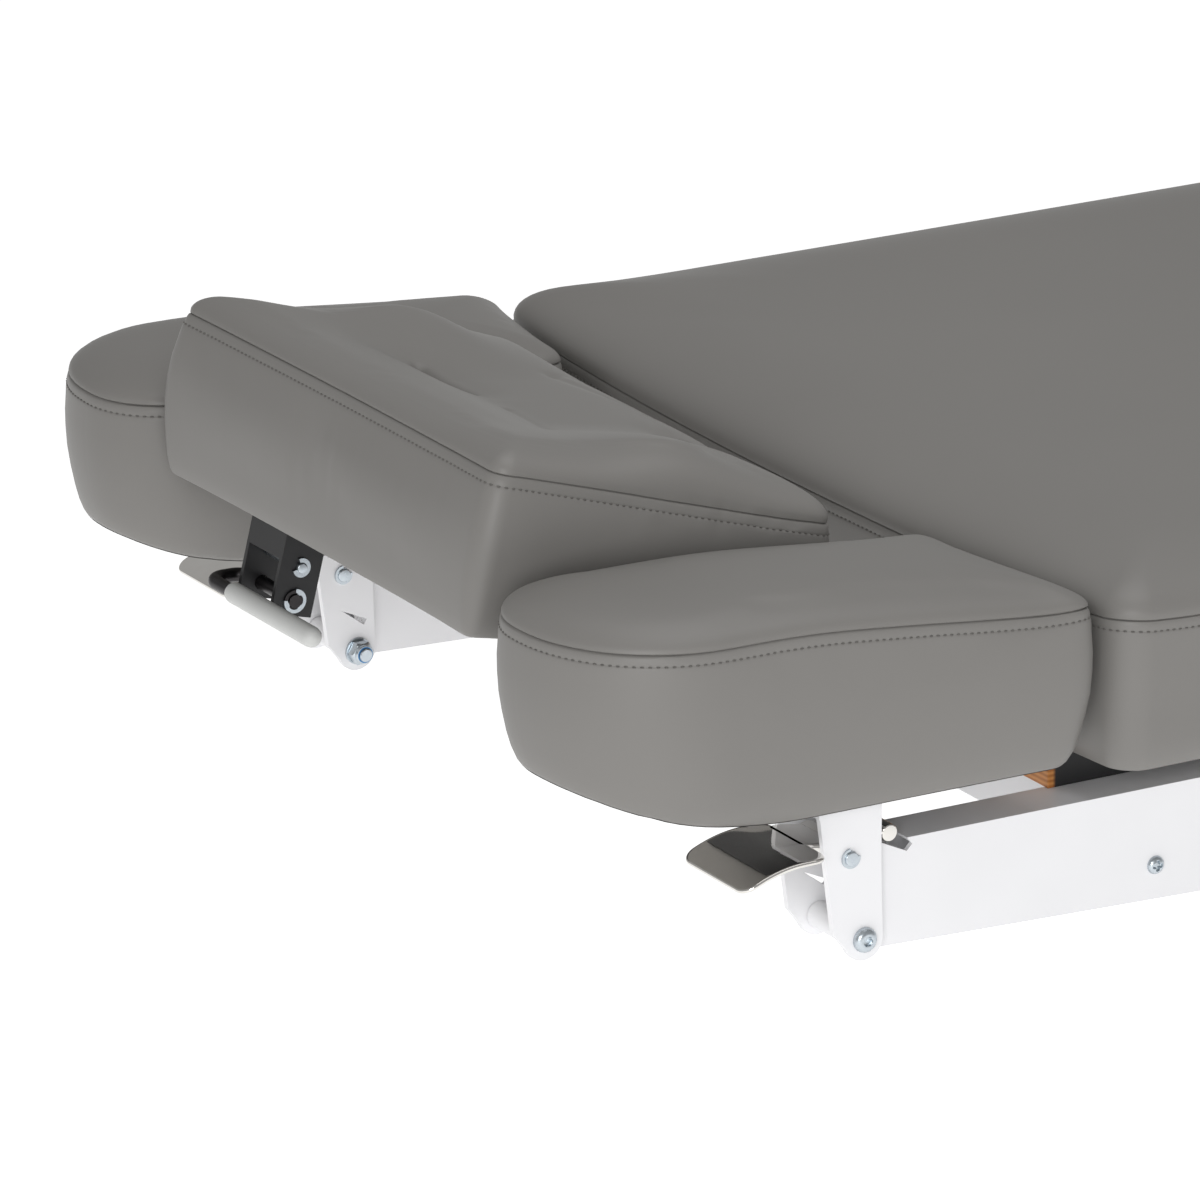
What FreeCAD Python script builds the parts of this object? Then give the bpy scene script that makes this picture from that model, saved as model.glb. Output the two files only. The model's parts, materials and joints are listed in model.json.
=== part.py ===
# Spa treatment bed: head end towards -X, foot end towards +X, floor at Z = 0, millimetres.
# The sheet Sizes holds the driving dimensions, the sheet Places what is worked out from them,
# and every sub-part is bound to those two sheets.
import FreeCAD, Part
import math
import os

import Sketcher

Vector = FreeCAD.Vector
Placement = FreeCAD.Placement
Rotation = FreeCAD.Rotation

doc = FreeCAD.newDocument("spa_treatment_bed")

SIZES = {
    # Whole bed
    "bed_length": "1942",
    "pad_width": "670",
    "pivot_height": "465",
    "fit_gap": "0.4",
    "pin_fit": "0.1",
    # Long pads and their boards
    "pad_thickness": "84",
    "pad_crown": "28",
    "pad_tuck": "8",
    "pad_corner": "25",
    "back_pad_reach": "118",
    "back_pad_bow": "24",
    "pad_gap": "26",
    "board_thickness": "22",
    "board_edge": "67",
    "board_inset": "18",
    # Side beams and crossbars of the backrest
    "deck_rise": "50",
    "beam_width": "30",
    "beam_edge": "56",
    "beam_wall": "3",
    "beam_head_depth": "58.5",
    "beam_foot_depth": "86",
    "beam_set_back": "8",
    "notch_start": "14",
    "notch_end": "30",
    "notch_depth": "7.5",
    "notch_hook": "3.5",
    "crossbar_width": "40",
    "crossbar_height": "50",
    "crossbar_wall": "3",
    "screw_reach": "189",
    "screw_rise": "5",
    "screw_diameter": "6",
    "screw_head": "10.5",
    "screw_head_height": "3",
    # Backrest hinge between the long pads
    "back_hinge_reach": "851",
    "back_hinge_sink": "14.5",
    "back_hinge_y": "150",
    "back_hinge_eye": "20",
    "back_hinge_pin": "10",
    "hinge_plate": "8",
    # Backrest actuator
    "actuator_rod_reach": "291",
    "actuator_rod_drop": "45",
    "actuator_y": "115",
    "actuator_tube": "44",
    "actuator_rod": "20",
    "actuator_tube_length": "330",
    "actuator_rod_length": "330",
    "actuator_rod_clearance": "43.5",
    "actuator_eye": "30",
    "actuator_side_room": "3",
    "actuator_pin": "12",
    "motor_diameter": "58",
    "motor_length": "95",
    "motor_sink": "5",
    "lug_plate": "6",
    # Upper frame
    "frame_rail_depth": "60",
    "frame_wall": "3",
    "frame_cross_width": "100",
    "frame_cross_height": "40",
    "frame_foot_set_back": "60",
    "cap_thickness": "4",
    "cap_plug": "12",
    # Lifting columns
    "column_spacing": "500",
    "column_width": "110",
    "column_wall": "4",
    "column_slide_gap": "0.5",
    "column_show": "40",
    "column_step": "10",
    # Base
    "base_rail_y": "210",
    "base_rail_width": "50",
    "base_rail_height": "40",
    "base_wall": "3",
    "base_head_reach": "330",
    "base_foot_reach": "160",
    "foot_height": "25",
    "foot_diameter": "46",
    "foot_set_in": "40",
    "control_box_depth": "60",
    "control_box_width": "150",
    "control_box_height": "170",
    "control_box_rise": "70",
    "inlet_width": "28",
    "inlet_height": "20",
    "inlet_depth": "14",
    # Headrest
    "headrest_gap": "39",
    "headrest_rise": "26",
    "headrest_tilt": "13.9",
    "headrest_length": "250",
    "headrest_foot_set": "43",
    "headrest_side_gap": "3",
    "headrest_thickness": "88",
    "headrest_rim": "28",
    "headrest_corner": "18",
    "headrest_hollow": "20",
    "hollow_edge": "47",
    "hollow_slope": "36",
    "headrest_board_length": "170",
    "headrest_board_edge": "48",
    "headrest_board_thickness": "3",
    "headrest_board_set_back": "60",
    "tuft_diameter": "26",
    "tuft_depth": "9",
    "tuft_head_reach": "146",
    "tuft_head_spread": "50",
    "tuft_foot_reach": "66",
    "tuft_foot_spread": "26",
    "ear_length": "66",
    "head_hinge_out": "16",
    "head_hinge_drop": "3",
    "head_hinge_inset": "11",
    "head_hinge_eye": "22",
    "head_hinge_pin": "8",
    # Headrest gas spring
    "spring_rod_reach": "126",
    "spring_rod_drop": "23",
    "spring_barrel": "16",
    "spring_rod": "8",
    "spring_barrel_length": "150",
    "spring_rod_length": "135",
    "spring_engaged": "23.3",
    "spring_eye": "14",
    "spring_side_room": "1.5",
    "spring_pin": "6",
    # Headrest bracket, release handle and grip
    "bracket_back": "200",
    "bracket_length": "26",
    "bracket_depth": "51",
    "bracket_near_y": "72",
    "bracket_width": "40",
    "bracket_plate": "3",
    "bracket_lip": "20",
    "bracket_pin_set": "13",
    "bracket_upper_pin_drop": "23",
    "bracket_lower_pin_drop": "42",
    "bracket_pin": "6",
    "clip_diameter": "11",
    "clip_thickness": "1.2",
    "handle_rod": "8",
    "handle_reach": "22",
    "handle_drop": "5",
    "handle_side": "128",
    "handle_bend": "9",
    "grip_diameter": "12",
    "grip_length": "98",
    "grip_far_y": "104",
    # Arm pads, boards and brackets
    "arm_head_reach": "186",
    "arm_foot_reach": "124",
    "arm_edge": "5",
    "arm_width": "148",
    "arm_pad_rise": "80",
    "arm_seam_head": "190",
    "arm_seam_foot": "167",
    "arm_crown": "16",
    "arm_tuck": "9",
    "arm_outer_corner": "88",
    "arm_inner_corner": "54",
    "arm_foot_corner": "26",
    "arm_board_thickness": "4",
    "arm_board_inset": "36",
    "arm_board_toe_gap": "4",
    "arm_toe_start": "65",
    "arm_toe_rise": "37",
    "cheek_edge": "60",
    "cheek_gap": "42",
    "cheek_plate": "4",
    "cheek_head_reach": "28.5",
    "cheek_foot_reach": "10.5",
    "cheek_lobe": "24",
    "cheek_waist_rise": "45",
    "cheek_neck_reach": "19",
    "cheek_neck_rise": "6",
    "wedge_head_reach": "9",
    "wedge_head_rise": "25",
    "wedge_foot_reach": "6.5",
    "wedge_foot_rise": "18",
    "wedge_tip_reach": "4.5",
    "wedge_tip_rise": "15",
    # Arm pivot
    "pivot_bolt": "8",
    "bolt_head": "14",
    "bolt_head_top": "8.4",
    "bolt_head_height": "4.4",
    "bolt_socket": "5",
    "pivot_sleeve": "15",
    "washer_diameter": "16",
    "washer_thickness": "1.6",
    "nut_width": "13",
    "nut_height": "8",
    # Arm latch
    "latch_pin_reach": "9",
    "latch_pin_rise": "47.5",
    "latch_pin": "8",
    "latch_hub": "16",
    "latch_body_width": "38",
    "paddle_width": "66",
    "paddle_reach": "84",
    "paddle_crest_reach": "52",
    "paddle_drop": "3.5",
    "paddle_crest_rise": "9.5",
    "paddle_plate": "3",
    "paddle_shift": "8",
    "nose_reach": "20",
    "nose_rise": "54",
    "nose_diameter": "10",
}


class Size:
    """A dimension that carries its text for a cell or a binding, and its present value."""

    def __init__(self, text, value):
        self.text = text
        self.value = float(value)

    def joined(self, sign, other, value):
        text = other.text if isinstance(other, Size) else repr(other)
        return Size("(%s %s %s)" % (self.text, sign, text), value)

    def __add__(self, other):
        return self.joined("+", other, self.value + number(other))

    def __sub__(self, other):
        return self.joined("-", other, self.value - number(other))

    def __mul__(self, other):
        return self.joined("*", other, self.value * number(other))

    def __truediv__(self, other):
        return self.joined("/", other, self.value / number(other))

    def __neg__(self):
        return Size("(0 - %s)" % self.text, -self.value)


def number(item):
    """The present value of a Size or a plain number."""
    return item.value if isinstance(item, Size) else float(item)


def root(item):
    """Square root of a Size."""
    return Size("sqrt(%s)" % item.text, math.sqrt(item.value))


def cosine(angle):
    """Cosine of a Size in degrees."""
    return Size("cos(%s * 1 deg)" % angle.text, math.cos(math.radians(angle.value)))


def sine(angle):
    """Sine of a Size in degrees."""
    return Size("sin(%s * 1 deg)" % angle.text, math.sin(math.radians(angle.value)))


sizes_sheet = doc.addObject("Spreadsheet::Sheet", "Sizes")
places_sheet = doc.addObject("Spreadsheet::Sheet", "Places")


class Sizes:
    """The driving dimensions, by name."""


for row, (alias, text) in enumerate(SIZES.items(), start=1):
    sizes_sheet.set("A%d" % row, alias)
    sizes_sheet.set("B%d" % row, text)
    sizes_sheet.setAlias("B%d" % row, alias)
doc.recompute()
for alias in SIZES:
    setattr(Sizes, alias, Size("Sizes." + alias, sizes_sheet.get(alias)))

place_names = []


def place(alias, size):
    """Keep a derived dimension in the sheet Places and return it under its alias."""
    place_names.append(alias)
    row = len(place_names)
    places_sheet.set("A%d" % row, alias)
    places_sheet.set("B%d" % row, "=" + size.text)
    places_sheet.setAlias("B%d" % row, alias)
    return Size("Places." + alias, size.value)


S = Sizes
MIDDLE = Size("0", 0)
# Corner radius of a hexagon over its width across flats
HEX_CORNER = 1 / math.sqrt(3)
# Where a cheek runs into its pivot lobe, as shares of the lobe radius
LOBE_BACK = 0.6
LOBE_DOWN = 0.8

# Levels
deck_z = place("deck_z", S.pivot_height + S.deck_rise)
pad_z = place("pad_z", deck_z + S.board_thickness)
seam_z = place("seam_z", pad_z + S.pad_thickness)
base_top_z = place("base_top_z", S.foot_height + S.base_rail_height)

# Sides, measured in from the edge of the long pads
pad_edge_y = place("pad_edge_y", S.pad_width / 2)
board_width = place("board_width", (pad_edge_y - S.board_edge) * 2)
beam_middle_y = place("beam_middle_y", pad_edge_y - S.beam_edge)
cheek_middle_y = place("cheek_middle_y", pad_edge_y - S.cheek_edge)
arm_outer_y = place("arm_outer_y", pad_edge_y - S.arm_edge)
arm_inner_y = place("arm_inner_y", arm_outer_y - S.arm_width)
headrest_width = place("headrest_width", (arm_inner_y - S.headrest_side_gap) * 2)
headrest_board_width = place("headrest_board_width", headrest_width - S.headrest_board_edge * 2)
head_hinge_y = place("head_hinge_y", headrest_board_width / 2 - S.head_hinge_inset)

# Stations along the bed
bed_foot_x = place("bed_foot_x", S.bed_length / 2)
arm_pivot_x = place("arm_pivot_x", S.arm_head_reach - bed_foot_x)
back_pad_head_x = place("back_pad_head_x", arm_pivot_x + S.back_pad_reach)
back_hinge_x = place("back_hinge_x", arm_pivot_x + S.back_hinge_reach)
back_hinge_z = place("back_hinge_z", seam_z - S.back_hinge_sink)
back_pad_foot_x = place("back_pad_foot_x", back_hinge_x - S.pad_gap / 2)
seat_pad_head_x = place("seat_pad_head_x", back_hinge_x + S.pad_gap / 2)
beam_head_x = place("beam_head_x", arm_pivot_x + S.pivot_sleeve / 2 + S.pin_fit)
beam_foot_x = place("beam_foot_x", back_pad_foot_x - S.beam_set_back)
beam_inner_y = place("beam_inner_y", beam_middle_y - S.beam_width / 2)
beam_outer_y = place("beam_outer_y", beam_middle_y + S.beam_width / 2)
frame_head_x = place("frame_head_x", seat_pad_head_x + S.beam_set_back)
frame_foot_x = place("frame_foot_x", bed_foot_x - S.frame_foot_set_back)
crossbar_z = place("crossbar_z", deck_z - S.crossbar_height)
frame_cross_z = place("frame_cross_z", deck_z - S.frame_cross_height)

def strut_base(name, hinge, rod_end, length):
    """Base pivot of a strut: as far from the hinge as its rod end, and one strut length from that."""
    back = hinge[0] - rod_end[0]
    down = hinge[1] - rod_end[1]
    swing = place(name + "_swing", root(back * back + down * down))
    half_sine = place(name + "_half_sine", length / 2 / swing)
    half_cosine = place(name + "_half_cosine", root(-(half_sine * half_sine) + 1))
    full_sine = place(name + "_full_sine", half_sine * half_cosine * 2)
    full_cosine = place(name + "_full_cosine", half_cosine * half_cosine - half_sine * half_sine)
    base_x = place(name + "_base_x", hinge[0] - back * full_cosine + down * full_sine)
    base_z = place(name + "_base_z", hinge[1] - back * full_sine - down * full_cosine)
    return base_x, base_z


# Backrest actuator: at rest its rod runs down the tube to a clearance from the base pivot
actuator_rod_x = place("actuator_rod_x", back_hinge_x - S.actuator_rod_reach)
actuator_rod_z = place("actuator_rod_z", crossbar_z - S.actuator_rod_drop)
actuator_mean_length = (S.actuator_tube_length + S.actuator_rod_length) / 2
actuator_engaged = place("actuator_engaged", actuator_mean_length - S.actuator_rod_clearance)
actuator_length = place("actuator_length", S.actuator_tube_length + S.actuator_rod_length - actuator_engaged)
actuator_base_x, actuator_base_z = strut_base(
    "actuator", (back_hinge_x, back_hinge_z), (actuator_rod_x, actuator_rod_z), actuator_length)
actuator_eye_width = place("actuator_eye_width", S.actuator_tube + S.actuator_side_room * 2)
motor_offset = place("motor_offset", (S.actuator_tube + S.motor_diameter) / 2 - S.motor_sink)

# Lifting columns and base
column_head_x = place("column_head_x", frame_head_x + S.frame_cross_width / 2)
column_foot_x = place("column_foot_x", column_head_x + S.column_spacing)
base_head_x = place("base_head_x", column_head_x - S.base_head_reach)
base_foot_x = place("base_foot_x", column_foot_x + S.base_foot_reach)
shell_top_z = place("shell_top_z", frame_cross_z - S.column_show)
column_shrink = place("column_shrink", S.column_wall * 2 + S.column_slide_gap * 2)
middle_width = place("middle_width", S.column_width - column_shrink)
inner_width = place("inner_width", middle_width - column_shrink)

# Headrest frame: origin at the lower foot edge of its pad, X along the tilted pad
tilt_cos = place("tilt_cos", cosine(S.headrest_tilt))
tilt_sin = place("tilt_sin", sine(S.headrest_tilt))
headrest_x = place("headrest_x", back_pad_head_x - S.headrest_gap)
headrest_z = place("headrest_z", pad_z + S.headrest_rise)
head_hinge_x = place("head_hinge_x", headrest_x + S.head_hinge_out * tilt_cos - S.head_hinge_drop * tilt_sin)
head_hinge_z = place("head_hinge_z", headrest_z - S.head_hinge_out * tilt_sin - S.head_hinge_drop * tilt_cos)
spring_rod_level = place("spring_rod_level", -S.headrest_board_thickness - S.spring_rod_drop)
spring_rod_x = place("spring_rod_x", headrest_x - S.spring_rod_reach * tilt_cos + spring_rod_level * tilt_sin)
spring_rod_z = place("spring_rod_z", headrest_z + S.spring_rod_reach * tilt_sin + spring_rod_level * tilt_cos)
spring_length = place("spring_length", S.spring_barrel_length + S.spring_rod_length - S.spring_engaged)
spring_base_x, spring_base_z = strut_base(
    "spring", (head_hinge_x, head_hinge_z), (spring_rod_x, spring_rod_z), spring_length)
spring_eye_width = place("spring_eye_width", S.spring_barrel + S.spring_side_room * 2)

# Crossbar stations of the backrest
head_bar_x = place("head_bar_x", arm_pivot_x + S.screw_reach)
foot_bar_x = place("foot_bar_x", beam_foot_x - S.crossbar_width / 2)

# Arm bracket levels and sides
arm_web_z = place("arm_web_z", S.pivot_height + S.arm_pad_rise - S.arm_board_thickness)
arm_pad_z = place("arm_pad_z", S.pivot_height + S.arm_pad_rise)
cheek_span = place("cheek_span", S.cheek_gap + S.cheek_plate * 2)
cheek_shift = place("cheek_shift", (S.cheek_gap + S.cheek_plate) / 2)
latch_pin_x = place("latch_pin_x", arm_pivot_x - S.latch_pin_reach)
latch_pin_z = place("latch_pin_z", S.pivot_height + S.latch_pin_rise)
doc.recompute()

nodes = []


def publish(item, label):
    """Name a finished sub-part and list it for writing."""
    item.Label = label
    nodes.append(item)
    return item


def bind(item, formulas):
    """Bind each property named in formulas to its Size."""
    for name, size in formulas.items():
        text = size.text if isinstance(size, Size) else repr(float(size))
        item.setExpression(name, text)
    return item


def at(corner):
    """Bindings for the base point of a placement."""
    names = ("Placement.Base.x", "Placement.Base.y", "Placement.Base.z")
    return dict(zip(names, corner))


def box(size, corner):
    """A block with its lowest corner at corner."""
    item = doc.addObject("Part::Box", "block")
    bind(item, dict(zip(("Length", "Width", "Height"), size)))
    return bind(item, at(corner))


def rod_y(diameter, length, start):
    """A round bar along +Y from start."""
    item = doc.addObject("Part::Cylinder", "round")
    item.Placement = Placement(Vector(), Rotation(Vector(1, 0, 0), -90))
    bind(item, {"Radius": diameter / 2, "Height": length})
    return bind(item, at(start))


def rod_z(diameter, length, start):
    """A round bar along +Z from start."""
    item = doc.addObject("Part::Cylinder", "round")
    bind(item, {"Radius": diameter / 2, "Height": length})
    return bind(item, at(start))


def fuse(items):
    """One solid out of several that touch or overlap."""
    item = doc.addObject("Part::MultiFuse", "joined")
    item.Shapes = items
    return item


def cut(base, tools):
    """base without the tools."""
    item = doc.addObject("Part::Cut", "cut")
    item.Base = base
    item.Tool = tools[0] if len(tools) == 1 else fuse(tools)
    return item


def group(items):
    """Several separate solids kept as one sub-part."""
    item = doc.addObject("Part::Compound", "group")
    item.Links = items
    return item


def tube(size, corner, wall, axis):
    """A rectangular hollow section, open along axis (0, 1 or 2)."""
    inner_size = [side if i == axis else side - wall * 2 for i, side in enumerate(size)]
    inner_corner = [edge if i == axis else edge + wall for i, edge in enumerate(corner)]
    return cut(box(size, corner), [box(inner_size, inner_corner)])


def draw_polygon(sketch, corners):
    """Closed outline through the corners, each corner bound to its two Sizes."""
    count = len(corners)
    points = [Vector(number(x), number(z), 0) for x, z in corners]
    for i in range(count):
        sketch.addGeometry(Part.LineSegment(points[i], points[(i + 1) % count]), False)
    for i in range(count):
        sketch.addConstraint(Sketcher.Constraint("Coincident", i, 2, (i + 1) % count, 1))
    for i, corner in enumerate(corners):
        for kind, size in zip(("DistanceX", "DistanceY"), corner):
            index = sketch.addConstraint(Sketcher.Constraint(kind, -1, 1, i, 1, number(size)))
            bind(sketch, {"Constraints[%d]" % index: size})


def draw_circle(sketch, centre_x, centre_z, diameter):
    """A circle whose centre and radius are bound to their Sizes."""
    centre = Vector(number(centre_x), number(centre_z), 0)
    sketch.addGeometry(Part.Circle(centre, Vector(0, 0, 1), number(diameter) / 2), False)
    for kind, size in zip(("DistanceX", "DistanceY"), (centre_x, centre_z)):
        index = sketch.addConstraint(Sketcher.Constraint(kind, -1, 1, 0, 3, number(size)))
        bind(sketch, {"Constraints[%d]" % index: size})
    index = sketch.addConstraint(Sketcher.Constraint("Radius", 0, number(diameter) / 2))
    bind(sketch, {"Constraints[%d]" % index: diameter / 2})


def side_feature(body, kind, outline, width, shift):
    """Pad or pocket an outline of the XZ plane by width, its middle shifted along Y."""
    plane = [item for item in body.Origin.OriginFeatures if item.Role == "XZ_Plane"][0]
    sketch = body.newObject("Sketcher::SketchObject", "outline")
    sketch.AttachmentSupport = [(plane, "")]
    sketch.MapMode = "FlatFace"
    bind(sketch, {"AttachmentOffset.Base.z": -shift})
    if isinstance(outline, tuple):
        draw_circle(sketch, *outline)
    else:
        draw_polygon(sketch, outline)
    doc.recompute()
    before = 0 if body.Tip is None else body.Shape.Volume
    feature = body.newObject("PartDesign::" + kind, kind.lower())
    feature.Profile = sketch
    feature.SideType = "Symmetric"
    bind(feature, {"Length": width})
    doc.recompute()
    if body.Shape.Volume == before:
        raise ValueError("a feature of %s changes nothing" % body.Label)


def side_body(middle_y, pads, pockets=()):
    """A body of outlines in the XZ plane; each entry is (outline, width, shift along Y)."""
    body = doc.addObject("PartDesign::Body", "body")
    bind(body, {"Placement.Base.y": middle_y})
    for outline, width, shift in pads:
        side_feature(body, "Pad", outline, width, shift)
    for outline, width, shift in pockets:
        side_feature(body, "Pocket", outline, width, shift)
    return body


def headrest_seat(item):
    """Turn a piece drawn in the headrest's tilted frame to its place."""
    item.Placement = Placement(item.Placement.Base, Rotation(Vector(0, 1, 0), S.headrest_tilt.value))
    return bind(item, {"Placement.Base.x": headrest_x, "Placement.Base.z": headrest_z})


def headrest_point(along, y, up):
    """A point of the headrest's tilted frame in the bed's frame."""
    turn = Rotation(Vector(0, 1, 0), S.headrest_tilt.value)
    return Vector(headrest_x.value, 0, headrest_z.value) + turn.multVec(Vector(along, y, up))


def mirrored_pair(builder):
    """Build a piece on the right (-Y) and on the left (+Y)."""
    for side, name in ((-1, "right"), (1, "left")):
        builder(side, name)


def pad_outline(head, foot, low, high, head_corners, foot_corner, bow=0.0):
    """Plan outline of a pad as lines and three-point arcs; the head edge bows out by bow.

    The head corners are given as the radius on the low side and the radius on the high side.
    """
    low_corner, high_corner = head_corners
    slant = math.sqrt(0.5)
    corners = [
        (head + bow, low, 1, 1, low_corner),
        (foot, low, -1, 1, foot_corner),
        (foot, high, -1, -1, foot_corner),
        (head + bow, high, 1, -1, high_corner),
    ]
    arcs = []
    for x, y, along, across, radius in corners:
        centre_x = x + along * radius
        centre_y = y + across * radius
        middle = (centre_x - along * radius * slant, centre_y - across * radius * slant)
        on_side = (centre_x, y)
        on_end = (x, centre_y)
        head_first = (along > 0) == (across > 0)
        arcs.append((on_end, middle, on_side) if head_first else (on_side, middle, on_end))
    edges = []
    for i, arc in enumerate(arcs):
        edges.append(arc)
        edges.append((arc[2], None, arcs[(i + 1) % len(arcs)][0]))
    last = edges[-1]
    edges[-1] = (last[0], (head, (low + high) / 2), last[2]) if bow else last
    return edges


def pad_wire(edges, height, slope=0.0, origin=0.0):
    """A plan outline lifted to a plane that rises by slope per millimetre towards the head."""
    def lift(point):
        return Vector(point[0], point[1], height + slope * (origin - point[0]))

    parts = []
    for start, middle, end in edges:
        if middle is None:
            parts.append(Part.makeLine(lift(start), lift(end)))
        else:
            parts.append(Part.Arc(lift(start), lift(middle), lift(end)).toShape())
    return Part.Wire(parts)


def soft_solid(shape, label):
    """Keep a shape made here as a sub-part of the document."""
    item = doc.addObject("Part::Feature", label)
    item.Shape = shape
    return publish(item, label)


# Heights of a pad's sections as shares of its side, then of its crown, with their insets
SIDE_SECTIONS = ((0.0, 1.0), (0.25, 0.35), (0.6, 0.25), (1.0, 0.0))
CROWN_SECTIONS = ((0.45, 0.3), (0.8, 1.0), (1.0, 2.6))


def long_pad(label, head, foot, bow):
    """A long pad: tucked in at the board, drawn in along its sides, crowned above the seam."""
    half = S.pad_width.value / 2
    corner = S.pad_corner.value
    wires = []
    for share, inset_share in SIDE_SECTIONS:
        inset = S.pad_tuck.value * inset_share
        edges = pad_outline(head + inset, foot - inset, inset - half, half - inset,
                            (corner, corner), corner, bow)
        wires.append(pad_wire(edges, pad_z.value + S.pad_thickness.value * share))
    for share, inset_share in CROWN_SECTIONS:
        inset = S.pad_crown.value * inset_share
        edges = pad_outline(head + inset, foot - inset, inset - half, half - inset,
                            (corner, corner), corner, bow)
        wires.append(pad_wire(edges, seam_z.value + S.pad_crown.value * share))
    soft_solid(Part.makeLoft(wires, True, True), label)


def backrest_beam(side, name):
    """Tapered box beam, open at the head, with a ramped latch notch in its top edge."""
    head_low_z = deck_z - S.beam_head_depth
    foot_low_z = deck_z - S.beam_foot_depth
    outline = [
        (beam_head_x, head_low_z),
        (beam_foot_x, foot_low_z),
        (beam_foot_x, deck_z),
        (beam_head_x, deck_z),
    ]
    hollow = [
        (beam_head_x - S.beam_wall, head_low_z + S.beam_wall),
        (beam_foot_x - S.beam_wall, foot_low_z + S.beam_wall),
        (beam_foot_x - S.beam_wall, deck_z - S.beam_wall),
        (beam_head_x - S.beam_wall, deck_z - S.beam_wall),
    ]
    notch_low_z = deck_z - S.notch_depth
    notch = [
        (arm_pivot_x + S.notch_start, deck_z),
        (arm_pivot_x + S.notch_end, notch_low_z),
        (arm_pivot_x + S.notch_end + S.notch_hook, notch_low_z + S.notch_hook),
        (arm_pivot_x + S.notch_end, deck_z),
    ]
    body = side_body(
        beam_middle_y * side,
        [(outline, S.beam_width, 0)],
        [(hollow, S.beam_width - S.beam_wall * 2, 0), (notch, S.beam_width, 0)])
    hole = S.screw_diameter + S.pin_fit * 2
    start_y = beam_inner_y if side > 0 else -beam_outer_y
    holes = [rod_y(hole, S.beam_width, (x, start_y, S.pivot_height + S.screw_rise)) for x in screw_stations]
    publish(cut(body, holes), "backrest_beam_" + name)


screw_stations = (head_bar_x, actuator_rod_x, foot_bar_x)


def build_beam_screws():
    """Pan-head screws through the outer wall of each beam, opposite the crossbars."""
    screws = []
    for side in (-1, 1):
        for x in screw_stations:
            z = S.pivot_height + S.screw_rise
            shank_start = beam_outer_y - S.beam_wall if side > 0 else -beam_outer_y
            head_start = beam_outer_y if side > 0 else -beam_outer_y - S.screw_head_height
            shank = rod_y(S.screw_diameter, S.beam_wall, (x, shank_start, z))
            head = rod_y(S.screw_head, S.screw_head_height, (x, head_start, z))
            screws.append(fuse([shank, head]))
    publish(group(screws), "beam_screws")


def backrest_crossbar(label, middle_x):
    """A crossbar between the two beams."""
    corner = (middle_x - S.crossbar_width / 2, -beam_inner_y, crossbar_z)
    size = (S.crossbar_width, beam_inner_y * 2, S.crossbar_height)
    publish(tube(size, corner, S.crossbar_wall, 1), label)


def lug_pair(middle_y, inner_gap, outline, eye, hole):
    """Two equal plates either side of an eye; eye and hole are (x, z, diameter)."""
    shift = (inner_gap + S.lug_plate) / 2
    return [
        side_body(middle_y + shift * sign,
                  [(outline, S.lug_plate, 0), (eye, S.lug_plate, 0)],
                  [(hole, S.lug_plate, 0)])
        for sign in (-1, 1)
    ]


def strut_turn(start, end):
    """Rotation that takes Z to the way from start to end."""
    return Rotation(Vector(0, 0, 1), end - start)


def strut_rod(diameter, length, start, turn, offset):
    """A round bar along a strut, starting offset along it."""
    item = doc.addObject("Part::Cylinder", "strut_round")
    bind(item, {"Radius": diameter / 2, "Height": length})
    item.Placement = Placement(start + turn.multVec(Vector(0, 0, number(offset))), turn)
    return item


def strut(base, end, middle_y, barrel, barrel_length, rod, rod_length, eye, eye_width, pin, pin_length):
    """A telescopic strut: a barrel with an eye and cross pin at base, a rod with the same at end."""
    base_point = Vector(base[0].value, middle_y.value, base[1].value)
    end_point = Vector(end[0].value, middle_y.value, end[1].value)
    turn = strut_turn(base_point, end_point)
    back_turn = strut_turn(end_point, base_point)
    pieces = []
    for point, start, along, thick, reach in (
            (base, base_point, turn, barrel, barrel_length),
            (end, end_point, back_turn, rod, rod_length)):
        shaft = strut_rod(thick, reach, start, along, 0)
        ring = rod_y(eye, eye_width, (point[0], middle_y - eye_width / 2, point[1]))
        cross_pin = rod_y(pin, pin_length, (point[0], middle_y - pin_length / 2, point[1]))
        pieces.append(fuse([shaft, ring, cross_pin]))
    # The barrel is bored from its mouth for as far as the rod can run in
    bore_depth = barrel_length - eye
    bore = strut_rod(rod + S.pin_fit * 2, bore_depth + S.fit_gap, base_point, turn, eye)
    return cut(pieces[0], [bore]), pieces[1]


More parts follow.
